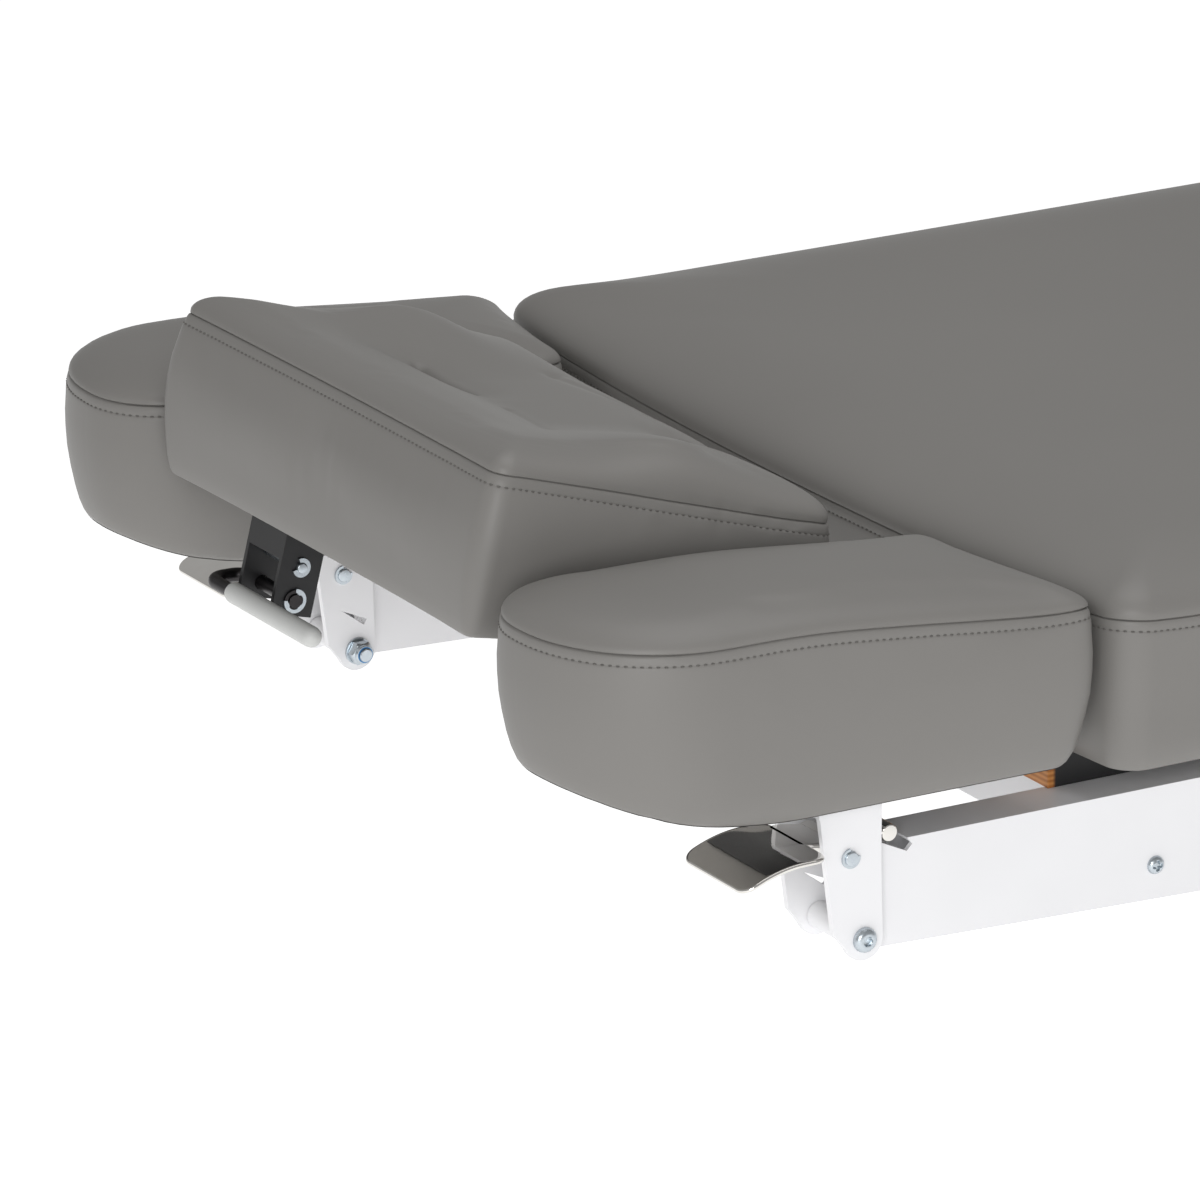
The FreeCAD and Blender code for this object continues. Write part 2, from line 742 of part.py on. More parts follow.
def build_backrest():
    """Beams, crossbars, board and pad, hinge arms, sleeves and headrest lugs."""
    mirrored_pair(backrest_beam)
    build_beam_screws()
    hole = S.actuator_pin + S.pin_fit * 2
    drop = S.actuator_eye / 2
    lug_outline = [
        (actuator_rod_x - S.crossbar_width / 2, crossbar_z),
        (actuator_rod_x - drop, actuator_rod_z),
        (actuator_rod_x + drop, actuator_rod_z),
        (actuator_rod_x + S.crossbar_width / 2, crossbar_z),
    ]
    lugs = lug_pair(S.actuator_y, actuator_eye_width + S.fit_gap * 2, lug_outline,
                    (actuator_rod_x, actuator_rod_z, S.actuator_eye),
                    (actuator_rod_x, actuator_rod_z, hole))
    spring_hole = S.spring_pin + S.pin_fit * 2
    spring_lug = [
        (head_bar_x - S.crossbar_width / 2, crossbar_z),
        (spring_base_x - S.spring_eye / 2, spring_base_z),
        (spring_base_x + S.spring_eye / 2, spring_base_z),
        (head_bar_x + S.crossbar_width / 2, crossbar_z),
    ]
    spring_lugs = lug_pair(MIDDLE, spring_eye_width + S.fit_gap * 2, spring_lug,
                           (spring_base_x, spring_base_z, S.spring_eye),
                           (spring_base_x, spring_base_z, spring_hole))
    publish(group(lugs), "actuator_rod_lugs")
    publish(group(spring_lugs), "spring_base_lugs")
    backrest_crossbar("backrest_crossbar_head", head_bar_x)
    backrest_crossbar("backrest_crossbar_middle", actuator_rod_x)
    backrest_crossbar("backrest_crossbar_foot", foot_bar_x)
    board_head_x = back_pad_head_x + S.board_inset
    board_size = (beam_foot_x - board_head_x, board_width, S.board_thickness)
    publish(box(board_size, (board_head_x, -board_width / 2, deck_z)), "backrest_board")
    long_pad("backrest_pad", back_pad_head_x.value, back_pad_foot_x.value, S.back_pad_bow.value)
    build_back_hinge()
    sleeves = []
    for side in (-1, 1):
        length = S.cheek_gap - S.fit_gap * 2
        start = (arm_pivot_x, cheek_middle_y * side - length / 2, S.pivot_height)
        sleeves.append(cut(rod_y(S.pivot_sleeve, length, start),
                           [rod_y(S.pivot_bolt + S.pin_fit * 2, length, start)]))
    publish(group(sleeves), "arm_pivot_sleeves")
    build_headrest_lugs()


def build_back_hinge():
    """Posts on the upper frame and arms on the backrest meet on two pins between the pads."""
    half_eye = S.back_hinge_eye / 2
    hole = S.back_hinge_pin + S.pin_fit * 2
    post = [
        (frame_head_x, frame_cross_z),
        (frame_head_x, deck_z),
        (back_hinge_x + half_eye, deck_z),
        (back_hinge_x + half_eye, back_hinge_z),
        (back_hinge_x - half_eye, back_hinge_z),
        (back_hinge_x - half_eye, frame_cross_z),
    ]
    arm = [
        (beam_foot_x, crossbar_z),
        (back_hinge_x + half_eye, crossbar_z + half_eye),
        (back_hinge_x + half_eye, back_hinge_z),
        (back_hinge_x - half_eye, back_hinge_z),
        (back_hinge_x - half_eye, deck_z),
        (beam_foot_x, deck_z),
    ]
    eye = (back_hinge_x, back_hinge_z, S.back_hinge_eye)
    bore = (back_hinge_x, back_hinge_z, hole)
    posts = []
    arms = []
    pins = []
    arm_y = S.back_hinge_y + S.hinge_plate + S.fit_gap
    pin_length = S.hinge_plate * 2 + S.fit_gap
    for side in (-1, 1):
        posts.append(side_body(S.back_hinge_y * side,
                               [(post, S.hinge_plate, 0), (eye, S.hinge_plate, 0)],
                               [(bore, S.hinge_plate, 0)]))
        arms.append(side_body(arm_y * side,
                              [(arm, S.hinge_plate, 0), (eye, S.hinge_plate, 0)],
                              [(bore, S.hinge_plate, 0)]))
        middle_y = (S.back_hinge_y + arm_y) / 2
        pins.append(rod_y(S.back_hinge_pin, pin_length,
                          (back_hinge_x, middle_y * side - pin_length / 2, back_hinge_z)))
    publish(group(posts), "backrest_hinge_posts")
    publish(group(arms), "backrest_hinge_arms")
    publish(group(pins), "backrest_hinge_pins")


def build_headrest_lugs():
    """Plates from the head crossbar up to the headrest hinge, in front of the backrest board."""
    half_eye = S.head_hinge_eye / 2
    bar_face_x = head_bar_x - S.crossbar_width / 2
    lug = [
        (bar_face_x, crossbar_z),
        (bar_face_x, deck_z),
        (head_hinge_x + S.head_hinge_eye, deck_z),
        (head_hinge_x + half_eye, head_hinge_z),
        (head_hinge_x - half_eye, head_hinge_z),
        (head_hinge_x - half_eye, deck_z - half_eye),
    ]
    eye = (head_hinge_x, head_hinge_z, S.head_hinge_eye)
    bore = (head_hinge_x, head_hinge_z, S.head_hinge_pin + S.pin_fit * 2)
    lugs = [
        side_body(head_hinge_y * side,
                  [(lug, S.lug_plate, 0), (eye, S.lug_plate, 0)],
                  [(bore, S.lug_plate, 0)])
        for side in (-1, 1)
    ]
    publish(group(lugs), "headrest_hinge_lugs")


def build_struts():
    """Backrest actuator with its motor, and the headrest gas spring."""
    housing, rod = strut(
        (actuator_base_x, actuator_base_z), (actuator_rod_x, actuator_rod_z), S.actuator_y,
        S.actuator_tube, S.actuator_tube_length, S.actuator_rod, S.actuator_rod_length,
        S.actuator_eye, actuator_eye_width, S.actuator_pin,
        actuator_eye_width + S.lug_plate * 2 + S.fit_gap * 2)
    base_point = Vector(actuator_base_x.value, S.actuator_y.value, actuator_base_z.value)
    end_point = Vector(actuator_rod_x.value, S.actuator_y.value, actuator_rod_z.value)
    turn = strut_turn(base_point, end_point)
    aside = turn.multVec(Vector(1, 0, 0))
    below = aside * (motor_offset.value if aside.z < 0 else -motor_offset.value)
    motor = strut_rod(S.motor_diameter, S.motor_length, base_point + below, turn, S.actuator_eye)
    publish(fuse([housing, motor]), "actuator_housing")
    publish(rod, "actuator_rod")
    barrel, spring_rod = strut(
        (spring_base_x, spring_base_z), (spring_rod_x, spring_rod_z), MIDDLE,
        S.spring_barrel, S.spring_barrel_length, S.spring_rod, S.spring_rod_length,
        S.spring_eye, spring_eye_width, S.spring_pin,
        spring_eye_width + S.lug_plate * 2 + S.fit_gap * 2)
    publish(barrel, "spring_barrel")
    publish(spring_rod, "spring_rod")


def build_headrest():
    """Pad with a raised rim and tufted hollow, board, hinge ears and pins, spring lugs, bracket."""
    build_headrest_pad()
    under = -S.headrest_board_thickness
    board_foot = -S.headrest_board_set_back
    board_head = board_foot - S.headrest_board_length
    board = [(board_head, under), (board_foot, under), (board_foot, MIDDLE), (board_head, MIDDLE)]
    publish(headrest_seat(side_body(MIDDLE, [(board, headrest_board_width, 0)])), "headrest_board")
    half_eye = S.head_hinge_eye / 2
    ear = [
        (board_foot - S.ear_length, under),
        (board_foot, under),
        (S.head_hinge_out, -S.head_hinge_drop),
        (S.head_hinge_out, -S.head_hinge_drop - half_eye),
        (board_foot - S.head_hinge_eye, under - half_eye),
    ]
    eye = (S.head_hinge_out, -S.head_hinge_drop, S.head_hinge_eye)
    bore = (S.head_hinge_out, -S.head_hinge_drop, S.head_hinge_pin + S.pin_fit * 2)
    ear_y = head_hinge_y + S.lug_plate + S.fit_gap
    ears = []
    pins = []
    pin_length = S.lug_plate * 2 + S.fit_gap
    for side in (-1, 1):
        ears.append(headrest_seat(side_body(ear_y * side,
                                            [(ear, S.lug_plate, 0), (eye, S.lug_plate, 0)],
                                            [(bore, S.lug_plate, 0)])))
        middle_y = (head_hinge_y + ear_y) / 2
        pins.append(rod_y(S.head_hinge_pin, pin_length,
                          (head_hinge_x, middle_y * side - pin_length / 2, head_hinge_z)))
    publish(group(ears), "headrest_hinge_ears")
    publish(group(pins), "headrest_hinge_pins")
    half_lug = S.spring_eye / 2
    lug = [
        (-S.spring_rod_reach - S.spring_eye, under),
        (-S.spring_rod_reach - half_lug, spring_rod_level),
        (-S.spring_rod_reach + half_lug, spring_rod_level),
        (-S.spring_rod_reach + S.spring_eye, under),
    ]
    lugs = lug_pair(MIDDLE, spring_eye_width + S.fit_gap * 2, lug,
                    (-S.spring_rod_reach, spring_rod_level, S.spring_eye),
                    (-S.spring_rod_reach, spring_rod_level, S.spring_pin + S.pin_fit * 2))
    publish(group([headrest_seat(item) for item in lugs]), "spring_rod_lugs")
    build_headrest_bracket()


def build_headrest_pad():
    """Rounded block with a rim all round, hollowed towards its foot edge and tufted four times."""
    length = S.headrest_length.value
    foot = -S.headrest_foot_set.value
    half = headrest_width.value / 2
    corner = S.headrest_corner.value
    corners = (corner, corner)
    height = S.headrest_thickness.value
    rim = S.headrest_rim.value
    wires = []
    for share, inset_share in SIDE_SECTIONS:
        inset = S.pad_tuck.value * inset_share
        edges = pad_outline(inset - length, foot - inset, inset - half, half - inset, corners, corner)
        wires.append(pad_wire(edges, height * share))
    for share, inset_share in ((0.5, 0.25), (0.85, 0.75), (1.0, 1.7)):
        inset = rim * inset_share
        edges = pad_outline(inset - length, foot - inset, inset - half, half - inset, corners, corner)
        wires.append(pad_wire(edges, height + rim * share))
    block = Part.makeLoft(wires, True, True)
    floor = height + rim - S.headrest_hollow.value
    sides = []
    floor_edge = S.hollow_edge.value + S.hollow_slope.value
    for edge, level in ((floor_edge, floor), (S.hollow_edge.value, height + rim)):
        edges = pad_outline(edge - length, foot + corner, edge - half, half - edge, corners, corner / 2)
        sides.append(pad_wire(edges, level))
    hollow = Part.makeLoft(sides, True, True)
    shape = block.cut(hollow)
    tuft_radius = S.tuft_diameter.value / 2
    tufts = ((S.tuft_head_reach, S.tuft_head_spread), (S.tuft_foot_reach, S.tuft_foot_spread))
    for along, across in tufts:
        for side in (-1, 1):
            point = Vector(-along.value, side * across.value, floor - S.tuft_depth.value)
            tuft = Part.makeCone(tuft_radius / 5, tuft_radius, S.tuft_depth.value, point, Vector(0, 0, 1))
            shape = shape.cut(tuft)
    item = soft_solid(shape, "headrest_pad")
    item.Placement = Placement(headrest_point(0, 0, 0), Rotation(Vector(0, 1, 0), S.headrest_tilt.value))


def build_headrest_bracket():
    """Folded bracket under the board, its upper pin with clips, and the bent release handle."""
    under = -S.headrest_board_thickness
    back = -S.bracket_back
    front = back - S.bracket_length
    low = under - S.bracket_depth
    cheek = [(front, low), (back, low), (back, under), (front, under)]
    web = [(front, under - S.bracket_plate), (back, under - S.bracket_plate), (back, under), (front, under)]
    lip = [(front, under - S.bracket_lip), (front + S.bracket_plate, under - S.bracket_lip),
           (front + S.bracket_plate, under), (front, under)]
    middle_y = S.bracket_near_y + S.bracket_width / 2
    shift = (S.bracket_width - S.bracket_plate) / 2
    pin_x = back - S.bracket_pin_set
    upper_pin = (pin_x, under - S.bracket_upper_pin_drop, S.bracket_pin + S.pin_fit * 2)
    lower_pin = (pin_x, under - S.bracket_lower_pin_drop, S.handle_rod + S.pin_fit * 2)
    bracket = side_body(
        middle_y,
        [(web, S.bracket_width, 0), (lip, S.bracket_width, 0),
         (cheek, S.bracket_plate, -shift), (cheek, S.bracket_plate, shift)],
        [(upper_pin, S.bracket_width, 0), (lower_pin, S.bracket_width, 0)])
    publish(headrest_seat(bracket), "headrest_bracket")
    overhang = S.clip_thickness * 2
    pin = side_body(middle_y, [((pin_x, under - S.bracket_upper_pin_drop, S.bracket_pin),
                                S.bracket_width + overhang * 2, 0)])
    clip_shift = (S.bracket_width + S.clip_thickness) / 2 + S.pin_fit
    pieces = [headrest_seat(pin)]
    for sign in (-1, 1):
        ring = side_body(middle_y + clip_shift * sign,
                         [((pin_x, under - S.bracket_upper_pin_drop, S.clip_diameter), S.clip_thickness, 0)],
                         [(upper_pin, S.clip_thickness, 0)])
        pieces.append(headrest_seat(ring))
    publish(group(pieces), "headrest_bracket_pin")
    build_handle(pin_x.value, (under - S.bracket_lower_pin_drop).value)


def build_handle(pivot_along, pivot_up):
    """Bent rod that turns in the bracket and comes back in front of it, with a sleeve grip."""
    grip_along = pivot_along - S.handle_reach.value
    grip_up = pivot_up - S.handle_drop.value
    near_y = S.bracket_near_y.value - S.clip_thickness.value * 2
    grip_near_y = S.grip_far_y.value - S.grip_length.value
    points = [
        headrest_point(pivot_along, near_y, pivot_up),
        headrest_point(pivot_along, S.handle_side.value, pivot_up),
        headrest_point(grip_along, S.handle_side.value, grip_up),
        headrest_point(grip_along, grip_near_y + S.handle_rod.value, grip_up),
    ]
    path = bent_path(points, S.handle_bend.value)
    section = Part.Wire(Part.makeCircle(S.handle_rod.value / 2, points[0], points[1] - points[0]))
    rod = doc.addObject("Part::Feature", "bent_rod")
    rod.Shape = path.makePipeShell([section], True, False)
    clip_y = S.bracket_near_y.value - S.pin_fit.value - S.clip_thickness.value
    clip_start = headrest_point(pivot_along, clip_y, pivot_up)
    clip_place = (clip_start.x, clip_start.y, clip_start.z)
    clip = cut(rod_y(S.clip_diameter + S.handle_rod - S.bracket_pin, S.clip_thickness, clip_place),
               [rod_y(S.handle_rod + S.pin_fit * 2, S.clip_thickness, clip_place)])
    publish(group([rod, clip]), "release_handle")
    start = headrest_point(grip_along, grip_near_y + S.grip_diameter.value / 2, grip_up)
    straight = S.grip_length - S.grip_diameter
    rounds = [rod_y(S.grip_diameter, straight, (start.x, start.y, start.z))]
    for end_y in (start.y, start.y + straight.value):
        ball = doc.addObject("Part::Sphere", "grip_end")
        bind(ball, {"Radius": S.grip_diameter / 2})
        rounds.append(bind(ball, at((start.x, end_y, start.z))))
    hole_y = grip_near_y + S.handle_rod.value - S.pin_fit.value
    hole_start = headrest_point(grip_along, hole_y, grip_up)
    hole = rod_y(S.handle_rod + S.pin_fit * 2, S.grip_length, (hole_start.x, hole_start.y, hole_start.z))
    publish(cut(fuse(rounds), [hole]), "handle_grip")


def bent_path(points, radius):
    """A wire of straight runs joined by tangent arcs of one radius."""
    edges = []
    start = points[0]
    for i in range(1, len(points) - 1):
        come = (points[i] - points[i - 1]).normalize()
        leave = (points[i + 1] - points[i]).normalize()
        half_turn = come.getAngle(leave) / 2
        setback = radius * math.tan(half_turn)
        first = points[i] - come * setback
        last = points[i] + leave * setback
        inward = (leave - come).normalize()
        middle = points[i] + inward * (radius / math.cos(half_turn) - radius)
        edges.append(Part.makeLine(start, first))
        edges.append(Part.Arc(first, middle, last).toShape())
        start = last
    edges.append(Part.makeLine(start, points[-1]))
    return Part.Wire(edges)


def build_arm(side, name):
    """One drop-down arm: pad that rises towards its head end, board, bracket, pivot bolt and latch."""
    low, high = sorted((arm_inner_y.value * side, arm_outer_y.value * side))
    head = arm_pivot_x.value - S.arm_head_reach.value
    foot = arm_pivot_x.value + S.arm_foot_reach.value
    slope = (S.arm_seam_head.value - S.arm_seam_foot.value) / (foot - head)
    seam_foot = S.pivot_height.value + S.arm_seam_foot.value
    side_height = seam_foot - arm_pad_z.value
    sections = []
    for share, inset_share in SIDE_SECTIONS:
        height = arm_pad_z.value + side_height * share
        sections.append((S.arm_tuck.value * inset_share, height, slope * share))
    for share, inset_share in CROWN_SECTIONS:
        sections.append((S.arm_crown.value * inset_share, seam_foot + S.arm_crown.value * share, slope))
    wires = []
    for inset, height, rise in sections:
        head_corners = [corner.value - inset for corner in (S.arm_inner_corner, S.arm_outer_corner)]
        edges = pad_outline(head + inset, foot - inset, low + inset, high - inset, head_corners[::side],
                            S.arm_foot_corner.value)
        wires.append(pad_wire(edges, height, rise, foot))
    pad = Part.makeLoft(wires, True, True)
    toe_x = arm_pivot_x.value - S.arm_toe_start.value
    toe_end_x = head - S.arm_tuck.value
    toe_slope = S.arm_toe_rise.value / (S.arm_head_reach.value - S.arm_toe_start.value)
    toe_low_z = arm_pad_z.value - S.arm_tuck.value
    toe = Part.Face(Part.makePolygon([
        Vector(toe_x, low, arm_pad_z.value),
        Vector(toe_end_x, low, arm_pad_z.value + toe_slope * (toe_x - toe_end_x)),
        Vector(toe_end_x, low, toe_low_z),
        Vector(toe_x, low, toe_low_z),
        Vector(toe_x, low, arm_pad_z.value),
    ]))
    soft_solid(pad.cut(toe.extrude(Vector(0, high - low, 0))), "arm_pad_" + name)
    inset = S.arm_board_inset
    board_low_y = arm_inner_y + inset if side > 0 else inset - arm_outer_y
    board_head_reach = S.arm_toe_start - S.arm_board_toe_gap
    board_size = (board_head_reach + S.arm_foot_reach - inset, arm_outer_y - arm_inner_y - inset * 2,
                  S.arm_board_thickness)
    board_corner = (arm_pivot_x - board_head_reach, board_low_y, arm_web_z)
    publish(box(board_size, board_corner), "arm_board_" + name)
    build_arm_bracket(side, name)
    build_pivot_bolt(side, name)
    build_latch(side, name)


def build_arm_bracket(side, name):
    """Inverted U of two cheeks under the arm board, rounded about the pivot, with a wedge slot inside."""
    lobe = S.cheek_lobe / 2
    cheek = [
        (arm_pivot_x - S.cheek_head_reach, arm_web_z),
        (arm_pivot_x - S.cheek_neck_reach, S.pivot_height + S.cheek_neck_rise),
        (arm_pivot_x - lobe * LOBE_BACK, S.pivot_height - lobe * LOBE_DOWN),
        (arm_pivot_x + lobe, S.pivot_height),
        (arm_pivot_x + S.cheek_foot_reach, S.pivot_height + S.cheek_waist_rise),
        (arm_pivot_x + S.cheek_foot_reach, arm_web_z),
    ]
    web = [
        (arm_pivot_x - S.cheek_head_reach, arm_web_z - S.cheek_plate),
        (arm_pivot_x + S.cheek_foot_reach, arm_web_z - S.cheek_plate),
        (arm_pivot_x + S.cheek_foot_reach, arm_web_z),
        (arm_pivot_x - S.cheek_head_reach, arm_web_z),
    ]
    wedge = [
        (arm_pivot_x - S.wedge_head_reach, S.pivot_height + S.wedge_head_rise),
        (arm_pivot_x + S.wedge_tip_reach, S.pivot_height + S.wedge_tip_rise),
        (arm_pivot_x + S.wedge_foot_reach, S.pivot_height + S.wedge_foot_rise),
    ]
    eye = (arm_pivot_x, S.pivot_height, S.cheek_lobe)
    pivot = (arm_pivot_x, S.pivot_height, S.pivot_bolt + S.pin_fit * 2)
    latch = (latch_pin_x, latch_pin_z, S.latch_pin + S.pin_fit * 2)
    body = side_body(
        cheek_middle_y * side,
        [(web, cheek_span, 0)]
        + [(shape, S.cheek_plate, cheek_shift * sign) for sign in (-1, 1) for shape in (cheek, eye)],
        [(pivot, cheek_span, 0), (latch, cheek_span, 0), (wedge, S.cheek_plate, -cheek_shift * side)])
    publish(body, "arm_bracket_" + name)


def build_pivot_bolt(side, name):
    """Button-head bolt from outside, washer and lock nut inside."""
    outer_y = cheek_middle_y + cheek_span / 2
    inner_y = cheek_middle_y - cheek_span / 2
    shank_length = cheek_span + S.washer_thickness + S.nut_height + S.washer_thickness
    shank_low = outer_y - shank_length if side > 0 else -outer_y
    shank = rod_y(S.pivot_bolt, shank_length, (arm_pivot_x, shank_low, S.pivot_height))
    head = doc.addObject("Part::Cone", "head")
    head.Placement = Placement(Vector(), Rotation(Vector(1, 0, 0), -90 * side))
    bind(head, {"Radius1": S.bolt_head / 2, "Radius2": S.bolt_head_top / 2, "Height": S.bolt_head_height})
    bind(head, at((arm_pivot_x, outer_y * side, S.pivot_height)))
    socket = doc.addObject("Part::Prism", "socket")
    socket.Polygon = 6
    socket.Placement = Placement(Vector(), Rotation(Vector(1, 0, 0), -90 * side))
    bind(socket, {"Circumradius": S.bolt_socket * HEX_CORNER, "Height": S.bolt_head_height})
    bind(socket, at((arm_pivot_x, (outer_y + S.bolt_head_height / 2) * side, S.pivot_height)))
    publish(cut(fuse([shank, head]), [socket]), "arm_pivot_bolt_" + name)
    hole = S.pivot_bolt + S.pin_fit * 2
    washer_low = inner_y - S.washer_thickness if side > 0 else -inner_y
    washer = cut(rod_y(S.washer_diameter, S.washer_thickness, (arm_pivot_x, washer_low, S.pivot_height)),
                 [rod_y(hole, S.washer_thickness, (arm_pivot_x, washer_low, S.pivot_height))])
    nut_block = doc.addObject("Part::Prism", "nut")
    nut_block.Polygon = 6
    nut_block.Placement = Placement(Vector(), Rotation(Vector(1, 0, 0), -90))
    nut_low = washer_low - S.nut_height if side > 0 else washer_low + S.washer_thickness
    bind(nut_block, {"Circumradius": S.nut_width * HEX_CORNER, "Height": S.nut_height})
    bind(nut_block, at((arm_pivot_x, nut_low, S.pivot_height)))
    nut = cut(nut_block, [rod_y(hole, S.nut_height, (arm_pivot_x, nut_low, S.pivot_height))])
    publish(group([washer, nut]), "arm_pivot_nut_" + name)


def build_latch(side, name):
    """Latch pin with two clips, and the polished lever with its paddle and nose."""
    middle_y = cheek_middle_y * side
    overhang = S.clip_thickness * 2
    pin_length = cheek_span + overhang * 2
    pin = rod_y(S.latch_pin, pin_length, (latch_pin_x, middle_y - pin_length / 2, latch_pin_z))
    pieces = [pin]
    for sign in (-1, 1):
        clip_y = middle_y + (cheek_span / 2 + S.pin_fit + S.clip_thickness / 2) * sign - S.clip_thickness / 2
        start = (latch_pin_x, clip_y, latch_pin_z)
        ring = rod_y(S.clip_diameter + S.pin_fit, S.clip_thickness, start)
        pieces.append(cut(ring, [rod_y(S.latch_pin + S.pin_fit * 2, S.clip_thickness, start)]))
    publish(group(pieces), "arm_latch_pin_" + name)
    tip_x = arm_pivot_x - S.paddle_reach
    tip_z = latch_pin_z - S.paddle_drop
    crest_x = arm_pivot_x - S.paddle_crest_reach
    crest_z = latch_pin_z + S.paddle_crest_rise
    neck_x = arm_pivot_x - S.cheek_head_reach - S.paddle_plate
    plate = S.paddle_plate
    paddle = [
        (tip_x, tip_z),
        (crest_x, crest_z - plate),
        (neck_x, crest_z - plate),
        (neck_x, crest_z),
        (crest_x - plate, crest_z),
        (tip_x - plate / 2, tip_z + plate),
    ]
    neck = [
        (neck_x - plate, crest_z - plate),
        (latch_pin_x - S.latch_hub / 4, latch_pin_z),
        (latch_pin_x, latch_pin_z + S.latch_hub / 2),
        (neck_x - plate, crest_z),
    ]
    nose_x = arm_pivot_x + S.nose_reach
    nose_z = S.pivot_height + S.nose_rise
    nose_arm = [
        (latch_pin_x, latch_pin_z + S.latch_hub / 4),
        (nose_x, nose_z - S.nose_diameter / 4),
        (nose_x, nose_z + S.nose_diameter / 2),
        (latch_pin_x, latch_pin_z + S.latch_hub / 2),
    ]
    lever = side_body(
        middle_y,
        [((latch_pin_x, latch_pin_z, S.latch_hub), S.latch_body_width, 0),
         (neck, S.latch_body_width, 0),
         (paddle, S.paddle_width, S.paddle_shift * side),
         (nose_arm, S.latch_body_width, 0),
         ((nose_x, nose_z, S.nose_diameter), S.latch_body_width, 0)],
        [((latch_pin_x, latch_pin_z, S.latch_pin + S.pin_fit * 2), S.latch_body_width, 0)])
    publish(lever, "arm_latch_lever_" + name)


def end_caps(head_x, foot_x, low_y, low_z, width, height, wall):
    """Plugs for both ends of a rectangular rail: a plate as large as the rail and a stub inside it."""
    room = wall + S.fit_gap
    caps = []
    for plate_x, stub_x in ((head_x - S.cap_thickness, head_x), (foot_x, foot_x - S.cap_plug)):
        plate = box((S.cap_thickness, width, height), (plate_x, low_y, low_z))
        stub = box((S.cap_plug, width - room * 2, height - room * 2), (stub_x, low_y + room, low_z + room))
        caps.append(fuse([plate, stub]))
    return caps


def frame_rail(side, name):
    """Long rail of the upper frame, in line with the backrest beam."""
    low_y = beam_inner_y if side > 0 else -beam_outer_y
    size = (frame_foot_x - frame_head_x, S.beam_width, S.frame_rail_depth)
    corner = (frame_head_x, low_y, deck_z - S.frame_rail_depth)
    publish(tube(size, corner, S.frame_wall, 0), "frame_rail_" + name)


def build_upper_frame():
    """Rails, crossbars over the columns, seat board and pad, actuator lugs, inner column tubes."""
    mirrored_pair(frame_rail)
    caps = []
    for low_y in (-beam_outer_y, beam_inner_y):
        caps += end_caps(frame_head_x, frame_foot_x, low_y, deck_z - S.frame_rail_depth,
                         S.beam_width, S.frame_rail_depth, S.frame_wall)
    publish(group(caps), "frame_rail_caps")
    crossbars = []
    for middle_x in (column_head_x, column_foot_x):
        size = (S.frame_cross_width, beam_inner_y * 2, S.frame_cross_height)
        corner = (middle_x - S.frame_cross_width / 2, -beam_inner_y, frame_cross_z)
        crossbars.append(tube(size, corner, S.frame_wall, 1))
    publish(group(crossbars), "frame_crossbars")
    board_foot_x = bed_foot_x - S.board_inset
    size = (board_foot_x - frame_head_x, board_width, S.board_thickness)
    publish(box(size, (frame_head_x, -board_width / 2, deck_z)), "seat_board")
    long_pad("seat_pad", seat_pad_head_x.value, bed_foot_x.value, 0.0)
    half_eye = S.actuator_eye / 2
    lug = [
        (actuator_base_x - half_eye, actuator_base_z),
        (actuator_base_x + half_eye, actuator_base_z),
        (frame_head_x + S.frame_cross_width, frame_cross_z),
        (frame_head_x, frame_cross_z),
    ]
    lugs = lug_pair(S.actuator_y, actuator_eye_width + S.fit_gap * 2, lug,
                    (actuator_base_x, actuator_base_z, S.actuator_eye),
                    (actuator_base_x, actuator_base_z, S.actuator_pin + S.pin_fit * 2))
    publish(group(lugs), "actuator_base_lugs")


def build_columns():
    """Two telescopic lifting columns of three nested square tubes."""
    stages = (
        ("column_shell_", S.column_width, base_top_z, shell_top_z),
        ("column_middle_", middle_width, base_top_z + S.column_step, shell_top_z + S.column_step),
        ("column_inner_", inner_width, base_top_z + S.column_step * 2, frame_cross_z),
    )
    for middle_x, name in ((column_head_x, "head"), (column_foot_x, "foot")):
        for label, width, low_z, high_z in stages:
            size = (width, width, high_z - low_z)
            corner = (middle_x - width / 2, -width / 2, low_z)
            publish(tube(size, corner, S.column_wall, 2), label + name)


def build_base():
    """Rails, crossbars under the columns, feet and the control box."""
    rails = []
    caps = []
    for side in (-1, 1):
        low_y = S.base_rail_y * side - S.base_rail_width / 2
        size = (base_foot_x - base_head_x, S.base_rail_width, S.base_rail_height)
        rails.append(tube(size, (base_head_x, low_y, S.foot_height), S.base_wall, 0))
        caps += end_caps(base_head_x, base_foot_x, low_y, S.foot_height,
                         S.base_rail_width, S.base_rail_height, S.base_wall)
    publish(group(rails), "base_rails")
    publish(group(caps), "base_rail_caps")
    inner_y = S.base_rail_y - S.base_rail_width / 2
    crossbars = []
    for middle_x in (column_head_x, column_foot_x):
        size = (S.column_width, inner_y * 2, S.base_rail_height)
        corner = (middle_x - S.column_width / 2, -inner_y, S.foot_height)
        crossbars.append(tube(size, corner, S.base_wall, 1))
    publish(group(crossbars), "base_crossbars")
    feet = []
    head_foot_x = base_head_x + S.foot_set_in
    tail_foot_x = base_foot_x - S.foot_set_in
    for side in (-1, 1):
        for x in (head_foot_x, tail_foot_x):
            feet.append(rod_z(S.foot_diameter, S.foot_height, (x, S.base_rail_y * side, 0)))
    publish(group(feet), "base_feet")
    box_x = column_foot_x - S.column_width / 2 - S.control_box_depth
    box_z = base_top_z + S.control_box_rise
    case_size = (S.control_box_depth, S.control_box_width, S.control_box_height)
    case = box(case_size, (box_x, -S.control_box_width / 2, box_z))
    inlet_size = (S.inlet_depth, S.inlet_width, S.inlet_height)
    inlet = box(inlet_size, (box_x, -S.inlet_width / 2, box_z + S.inlet_height))
    publish(cut(case, [inlet]), "control_box")


